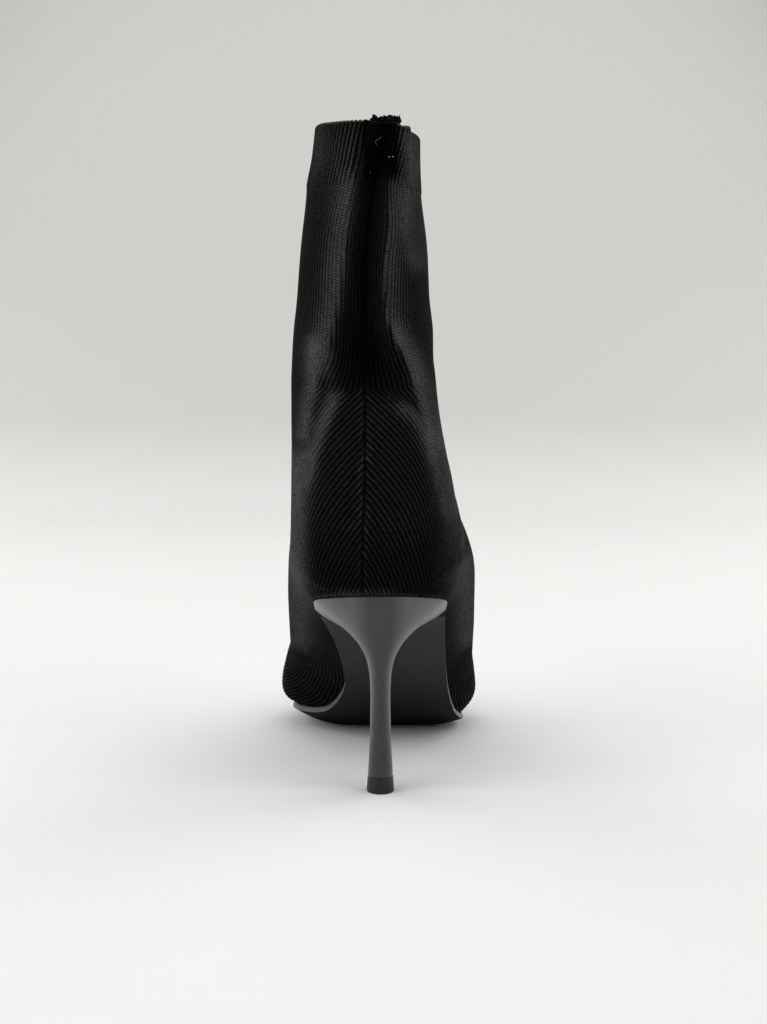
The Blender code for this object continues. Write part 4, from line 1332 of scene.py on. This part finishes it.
class HeelRow(NamedTuple):
    """Heel section: height at the seat's widest, half width, back, front and how far it follows the seat's slope."""

    height: float
    half_width: float
    back: float
    front: float
    follow: float


@dataclass
class StilettoHeel:
    """Moulded heel, flared from a slim stem to the seat, with its wearing tip."""

    top_piece_height: float = 6.5
    tilt_y: float = 28.0
    round_share: float = 0.58
    front_power: float = 12.0
    back_steps: int = 18
    front_steps: int = 14
    levels: int = 60
    edge_round: float = 0.2
    tip_flare: float = 0.5
    lacquer: Lacquer = field(default_factory=Lacquer)
    tip_rubber: MattRubber = field(
        default_factory=lambda: MattRubber("moulded_tip_rubber", "#0c0d0d", "#121313", 0.5))
    table: tuple[HeelRow, ...] = (
        HeelRow(6.8, 5.35, 14.4, 26.4, 0.0),
        HeelRow(16.0, 4.85, 14.7, 26.3, 0.0),
        HeelRow(28.0, 4.40, 14.7, 26.6, 0.0),
        HeelRow(40.0, 4.25, 14.1, 27.6, 0.0),
        HeelRow(49.0, 4.60, 12.9, 29.2, 0.0),
        HeelRow(56.0, 5.80, 11.3, 31.2, 0.05),
        HeelRow(62.3, 9.00, 9.2, 34.4, 0.2),
        HeelRow(67.4, 13.8, 6.8, 38.2, 0.45),
        HeelRow(72.2, 20.0, 4.0, 42.2, 0.75),
        HeelRow(75.8, 24.4, 1.8, 44.8, 0.92),
        HeelRow(78.4, 27.2, 0.6, 45.7, 1.0),
        HeelRow(79.6, 28.4, 0.2, 46.0, 1.0),
    )

    def ring(self, row: HeelRow, height_at: Callable[[float], float], inset: float = 0.0) -> np.ndarray:
        """Closed ring of points of one section, set in by an inset."""
        half_width, back, front = row.half_width - inset, row.back + inset, row.front - inset
        middle = back + self.round_share * (front - back)
        half = []
        for step in range(self.back_steps):
            turn = 0.5 * pi * step / self.back_steps
            half.append((half_width * sin(turn), middle - (middle - back) * cos(turn)))
        power = 2 / self.front_power
        for step in range(self.front_steps + 1):
            turn = 0.5 * pi * step / self.front_steps
            half.append((half_width * cos(turn) ** power, middle + (front - middle) * sin(turn) ** power))
        whole = half + [(-x, y) for x, y in half[-2:0:-1]]
        return np.array([(x, y, height_at(y)) for x, y in whole])

    def build_stem(self) -> bpy.types.Object:
        """Model the heel's body through its sections and dress it."""
        curves = {name: column_curve(self.table, "height", name) for name in HeelRow._fields[1:]}
        level = float(LAST.bed_height(self.tilt_y))
        rings = []
        heights = np.linspace(self.table[0].height, self.table[-1].height, self.levels)
        for number, height in enumerate(heights):
            row = HeelRow(float(height), *(float(curve(height)) for curve in curves.values()))
            inset = self.edge_round if number == 0 else 0.0
            rings.append(self.ring(
                row, lambda y, row=row: row.height + row.follow * (float(LAST.bed_height(y)) - level), inset))
        crown = self.table[-1]
        for inset, drop in ((0.0, self.edge_round), (0.15, 0.15), (self.edge_round, 0.0)):
            rings.append(self.ring(
                crown, lambda y, drop=drop: float(LAST.bed_height(y)) - LAST.gap - drop, inset))
        heel = lay_grid("heel_body", np.array(rings), closed=True, capped=True)
        heel.data.materials.append(self.lacquer.material())
        shade(heel, Shading.BY_ANGLE, 50.0)
        settle(heel, "heel")
        return heel

    def build_tip(self) -> bpy.types.Object:
        """Model the wearing tip, slightly flared, with rounded edges that leave a groove under the heel."""
        tip = self.table[0]
        top = self.top_piece_height
        profile = ((0.0, self.tip_flare - 0.5), (0.12, self.tip_flare - 0.16), (0.5, self.tip_flare),
                   (top - 1.0, 0.14), (top - 0.6, 0.1), (top - 0.2, -0.08), (top, -0.2))
        rings = [self.ring(tip, lambda y, height=height: height, -grow) for height, grow in profile]
        piece = lay_grid("heel_tip", np.array(rings), closed=True, capped=True)
        piece.data.materials.append(self.tip_rubber.material())
        shade(piece, Shading.BY_ANGLE, 50.0)
        settle(piece, "top_piece")
        return piece


@dataclass
class Sole:
    """Thin rubber sole with a paler edge, and the sock lining on the insole above it."""

    edge: float = 0.2
    insole_thickness: float = 2.2
    station_step: float = 3.0
    toe_stations: tuple[float, ...] = (0.0, 0.2, 0.4, 0.55, 0.7, 0.82, 0.92, 0.97)
    across: int = 26
    bevel: float = 0.4
    edge_round: float = 0.8
    # Sole rubber with painted shade towards the floor.
    rubber: MattRubber = field(
        default_factory=lambda: MattRubber("matt_sole_rubber", "#0e0f0f", "#161717", 0.65, rub_mm=5.0, grounded=True))
    # Paler rubber tone on the sole's edge faces.
    dressing: MattRubber = field(
        default_factory=lambda: MattRubber("sole_edge_dressing", "#3c3e3c", "#4e504e", 0.45, 0.6, 5.0))
    lining: WovenCloth = field(default_factory=lambda: WovenCloth("woven_sock_lining", "#1c1c1c", "#2c2c2b", 1.0))

    def stations(self, back: float, inset: float) -> list[float]:
        """Places along the foot from a back edge to the toe's tip."""
        count = round((LAST.toe_round - back) / self.station_step)
        middle = list(np.linspace(back, LAST.toe_round, count + 1)[:-1])
        depth = LAST.length - LAST.toe_round - inset
        return middle + [LAST.toe_round + depth * sin(0.5 * pi * share) for share in self.toe_stations]

    def build_outsole(self) -> bpy.types.Object:
        """Model the sole as a sheet with its thickness, round its edges and dress them."""
        stations = self.stations(LAST.heel_breast + LAST.gap, -self.edge)
        shares = np.linspace(0.0, 1.0, self.across)
        sheet = LAST.sole_sheet(stations, shares, -self.edge, -LAST.gap)
        sole = lay_grid("outsole_sheet", sheet)
        if sole.data.polygons[0].normal.z < 0:
            sole.data.flip_normals()
        apply_modifier(sole, "SOLIDIFY", thickness=LAST.sole_thickness * MM, offset=-1.0, use_even_offset=False)
        apply_modifier(sole, "BEVEL", width=self.edge_round * MM, segments=3, limit_method="ANGLE",
                       angle_limit=radians(55))
        sole.data.materials.append(self.rubber.material())
        sole.data.materials.append(self.dressing.material())
        upright = 0.75
        for face in sole.data.polygons:
            sideways = sqrt(face.normal.x ** 2 + face.normal.y ** 2)
            if sideways > upright and face.normal.y > -0.9 * sideways:
                face.material_index = 1
        shade(sole, Shading.BY_ANGLE, 40.0)
        settle(sole, "outsole")
        return sole

    def build_insole(self) -> bpy.types.Object:
        """Model the lined insole inside the upper's wall and dress it."""
        inset = LAST.wall + 3 * LAST.gap
        seat_depth = LAST.seat_radius - inset
        seat = [LAST.seat_radius - seat_depth * cos(0.5 * pi * share) for share in np.linspace(0.1, 1.0, 10)]
        stations = seat[:-1] + self.stations(LAST.seat_radius, inset)
        shares = np.linspace(0.0, 1.0, self.across)
        sheet = LAST.sole_sheet(stations, shares, inset, self.insole_thickness)
        insole = lay_grid("insole_lining", sheet)
        if insole.data.polygons[0].normal.z < 0:
            insole.data.flip_normals()
        apply_modifier(insole, "SOLIDIFY", thickness=self.insole_thickness * MM, offset=-1.0)
        apply_modifier(insole, "BEVEL", width=self.bevel * MM, segments=2, limit_method="ANGLE",
                       angle_limit=radians(55))
        insole.data.materials.append(self.lining.material())
        shade(insole, Shading.BY_ANGLE, 40.0)
        settle(insole, "insole")
        return insole


def tube_mesh(name: str, paths: Sequence[np.ndarray], radius: float, sides: int = 5) -> bpy.types.Object:
    """Join thin round threads along paths into one mesh.

    Args:
        name: The piece's name.
        paths: One array of points in millimetres for each thread.
        radius: The threads' radius in millimetres.
        sides: Sides of each thread.

    Returns:
        The joined threads, each closed at its ends.
    """
    vertices: list[np.ndarray] = []
    faces: list[tuple[int, ...]] = []
    for path in paths:
        along = np.gradient(path, axis=0)
        along /= np.linalg.norm(along, axis=1)[:, None]
        across = np.cross(along, (0.31, 0.77, 0.55))
        across /= np.linalg.norm(across, axis=1)[:, None]
        other = np.cross(along, across)
        first = len(vertices)
        for point, one, two in zip(path, across, other):
            for side in range(sides):
                turn = 2 * pi * side / sides
                vertices.append(point + radius * (one * cos(turn) + two * sin(turn)))
        for ring in range(len(path) - 1):
            low = first + ring * sides
            for side in range(sides):
                after = (side + 1) % sides
                faces.append((low + side, low + after, low + sides + after, low + sides + side))
        faces.append(tuple(range(first + sides - 1, first - 1, -1)))
        end = first + (len(path) - 1) * sides
        faces.append(tuple(range(end, end + sides)))
    mesh = bpy.data.meshes.new(name)
    mesh.from_pydata(to_frame(np.array(vertices)), [], faces)
    piece = bpy.data.objects.new(name, mesh)
    bpy.context.scene.collection.objects.link(piece)
    shade(piece, Shading.SMOOTH)
    return piece


class ThreadEnd(NamedTuple):
    """Short end of sewing thread on the cuff: where it starts, and its run across and up."""

    x: float
    z: float
    across: float
    up: float


@dataclass
class SeamTape:
    """End of the back seam's tape behind the rim, with its frayed threads and the ends of its sewing on the cuff."""

    width: float = 11.0
    thickness: float = 0.9
    above: float = 2.8
    below: float = 9.0
    middle: float = 2.6
    columns: int = 23
    fray_count: int = 34
    thread_radius: float = 0.5
    seed: int = 5
    end_radius: float = 0.25
    stitches: tuple[ThreadEnd, ...] = (ThreadEnd(3.6, 266.2, 0.2, 0.05), ThreadEnd(5.0, 266.2, 0.2, 0.05))
    loose_ends: tuple[ThreadEnd, ...] = (
        ThreadEnd(-2.2, 272.9, 2.6, 1.8), ThreadEnd(-2.1, 272.8, 0.6, -1.2), ThreadEnd(-4.3, 260.4, 0.4, -0.4))
    cloth: WovenCloth = field(
        default_factory=lambda: WovenCloth("woven_seam_tape", "#010101", "#060606", 0.6, sheen=0.02, gloss=0.1))
    pale_thread: WovenCloth = field(default_factory=lambda: WovenCloth("pale_sewing_thread", "#b0b0ac", "#c8c8c4"))
    grey_thread: WovenCloth = field(default_factory=lambda: WovenCloth("grey_sewing_thread", "#3a3b3a", "#4a4b4a"))

    @staticmethod
    def wall_y(x: Any, section: Section) -> Any:
        """Place of the shaft's outer face at a section, by place across."""
        points = np.concatenate([LAST.half_line(section, side) for side in (-1, 1)])
        back = points[points[:, 1] < section.base_y + LAST.fold_reach]
        order = np.argsort(back[:, 0])
        return np.interp(x, back[order, 0], back[order, 1])

    def lay_ends(self, name: str, ends: Sequence[ThreadEnd], thread: WovenCloth) -> None:
        """Lay short ends of thread on the cuff's outer face and dress them."""
        t = np.linspace(0.0, 1.0, 5)
        paths = []
        for end in ends:
            x, z = end.x + end.across * t, end.z + end.up * t
            y = [float(self.wall_y(place, LAST.on_back(height))) - self.end_radius for place, height in zip(x, z)]
            paths.append(np.column_stack((x, y, z)))
        piece = tube_mesh(name, paths, self.end_radius)
        piece.data.materials.append(thread.material())
        settle(piece)

    def build(self) -> None:
        """Model the tape with a ragged end, fray it and dress both."""
        rng = np.random.default_rng(self.seed)
        x = np.linspace(self.middle - self.width / 2, self.middle + self.width / 2, self.columns)
        clear = (LAST.wall + 4 * LAST.gap) * 1.15 + self.thickness
        y = self.wall_y(x, LAST.sections[-1]) + clear
        ragged = self.above + rng.uniform(-1.2, 0.3, self.columns)
        rows = []
        for share in np.linspace(0.0, 1.0, 8):
            z = LAST.collar_height - self.below + (self.below + ragged) * share
            rows.append(np.column_stack((x, y, z)))
        tape = lay_grid("seam_tape_end", np.array(rows))
        apply_modifier(tape, "SOLIDIFY", thickness=self.thickness * MM, offset=0.0)
        material = self.cloth.material()
        tape.data.materials.append(material)
        shade(tape, Shading.BY_ANGLE, 60.0)
        settle(tape, "seam_tape")
        paths = []
        for _ in range(self.fray_count):
            start_x = rng.uniform(x[0], x[-1])
            start = np.array((start_x, np.interp(start_x, x, y), LAST.collar_height + rng.uniform(-1.5, 0.6)))
            lean = np.array((rng.normal(0, 0.7), rng.normal(-0.9, 0.9), rng.uniform(0.9, 2.4)))
            curl = rng.normal(0, 0.7, 3)
            t = np.linspace(0.0, 1.0, 7)[:, None]
            paths.append(start + lean * t + curl * np.sin(pi * t) * 1.2)
        fray = tube_mesh("seam_tape_fray", paths, self.thread_radius)
        fray.data.materials.append(material)
        settle(fray)
        self.lay_ends("cuff_stitches", self.stitches, self.pale_thread)
        self.lay_ends("cuff_loose_ends", self.loose_ends, self.grey_thread)


class Softbox(NamedTuple):
    """Square soft light: its name, where it hangs in metres and its power in watts."""

    name: str
    place: tuple[float, float, float]
    watts: float


@dataclass
class Studio:
    """Plain pale sweep, soft light from the sides and above, and the camera at the photograph's angle."""

    camera_place: tuple[float, float, float] = (1.314, -781.43, 199.54)
    camera_pitch: float = 5.692
    focal_pixels: float = 1917.05
    image_height: float = 1024.0
    sensor: float = 36.0
    sweep_half_width: float = 2.6
    sweep_near: float = -2.4
    sweep_bend: float = 1.0
    sweep_radius: float = 0.45
    sweep_height: float = 2.6
    paper: StudioPaper = field(default_factory=StudioPaper)
    aim: tuple[float, float, float] = (0.0, 0.0, 0.14)
    softbox_side: float = 1.2
    softboxes: tuple[Softbox, ...] = (
        Softbox("softbox_near_left", (-0.95, -0.75, 0.75), 9.8),
        Softbox("softbox_near_right", (0.95, -0.75, 0.75), 7.2),
        Softbox("softbox_far_left", (-0.95, 0.75, 0.75), 7.0),
        Softbox("softbox_far_right", (0.95, 0.75, 0.75), 7.8),
        Softbox("softbox_above", (0.0, 0.0, 1.5), 9.0),
    )
    room_low: str = "#3c3d3c"
    room_high: str = "#e4e5e2"
    room_strength: float = 0.03

    def build_camera(self) -> None:
        """Place the camera behind the boot."""
        data = bpy.data.cameras.new("camera")
        data.sensor_fit = "AUTO"
        data.sensor_width = self.sensor
        data.lens = self.focal_pixels * self.sensor / self.image_height
        data.clip_start = 0.01
        camera = bpy.data.objects.new("camera", data)
        bpy.context.scene.collection.objects.link(camera)
        camera.location = to_frame(np.array(self.camera_place))
        camera.rotation_euler = (radians(90 - self.camera_pitch), 0.0, 0.0)
        bpy.context.scene.camera = camera

    def build_sweep(self) -> None:
        """Lay the floor that bends up into a back wall."""
        profile = [(self.sweep_near, 0.0), (self.sweep_bend, 0.0)]
        for step in range(1, 13):
            turn = 0.5 * pi * step / 12
            profile.append((self.sweep_bend + self.sweep_radius * sin(turn), self.sweep_radius * (1 - cos(turn))))
        profile.append((self.sweep_bend + self.sweep_radius, self.sweep_height))
        rows = [[(x, y, z) for x in (-self.sweep_half_width, self.sweep_half_width)] for y, z in profile]
        points = np.array(rows) / MM - ORIGIN
        sweep = lay_grid("paper_sweep", points)
        if sweep.data.polygons[0].normal.z < 0:
            sweep.data.flip_normals()
        sweep.data.materials.append(self.paper.material())
        shade(sweep, Shading.SMOOTH)

    @staticmethod
    def add_softbox(name: str, place: tuple[float, float, float], aim: tuple[float, float, float], size: float,
                    watts: float) -> None:
        """Hang a square soft light.

        Args:
            name: The light's name.
            place: Where it hangs, in metres.
            aim: The point that it faces.
            size: Its side in metres.
            watts: Its power.
        """
        data = bpy.data.lights.new(name, "AREA")
        data.shape = "SQUARE"
        data.size = size
        data.energy = watts
        light = bpy.data.objects.new(name, data)
        bpy.context.scene.collection.objects.link(light)
        light.location = place
        direction = light.location.copy()
        direction.x, direction.y, direction.z = (a - p for a, p in zip(aim, place))
        light.rotation_euler = direction.to_track_quat("-Z", "Y").to_euler()

    def build_lights(self) -> None:
        """Light the boot softly from left, right and above."""
        for box in self.softboxes:
            self.add_softbox(box.name, box.place, self.aim, self.softbox_side, box.watts)

    def build_world(self) -> None:
        """Surround the set with a dim pale room, darker behind the camera."""
        world = bpy.data.worlds.new("studio")
        world.use_nodes = True
        bpy.context.scene.world = world
        tree = world.node_tree
        background = tree.nodes["Background"]
        way = add_node(tree, "ShaderNodeTexCoord").outputs["Generated"]
        forward = add_node(tree, "ShaderNodeSeparateXYZ", {0: way}).outputs[1]
        share = add_node(tree, "ShaderNodeMapRange", {0: forward, 1: -0.9, 2: 0.4}).outputs[0]
        tones = {6: linear(self.room_low), 7: linear(self.room_high)}
        room = add_node(tree, "ShaderNodeMix", {0: share, **tones}, data_type="RGBA").outputs[2]
        tree.links.new(room, background.inputs["Color"])
        background.inputs["Strength"].default_value = self.room_strength

    def build(self) -> None:
        """Build the whole set."""
        self.build_camera()
        self.build_sweep()
        self.build_lights()
        self.build_world()
        bpy.context.scene.view_settings.view_transform = "Standard"


def main() -> None:
    """Build the set and the boot, piece by piece."""
    logging.basicConfig(level=logging.INFO, format="%(name)s %(message)s")
    Studio().build()
    KnitUpper().build()
    sole = Sole()
    sole.build_outsole()
    sole.build_insole()
    heel = StilettoHeel()
    heel.build_stem()
    heel.build_tip()
    SeamTape().build()


if __name__ == "__main__":
    main()
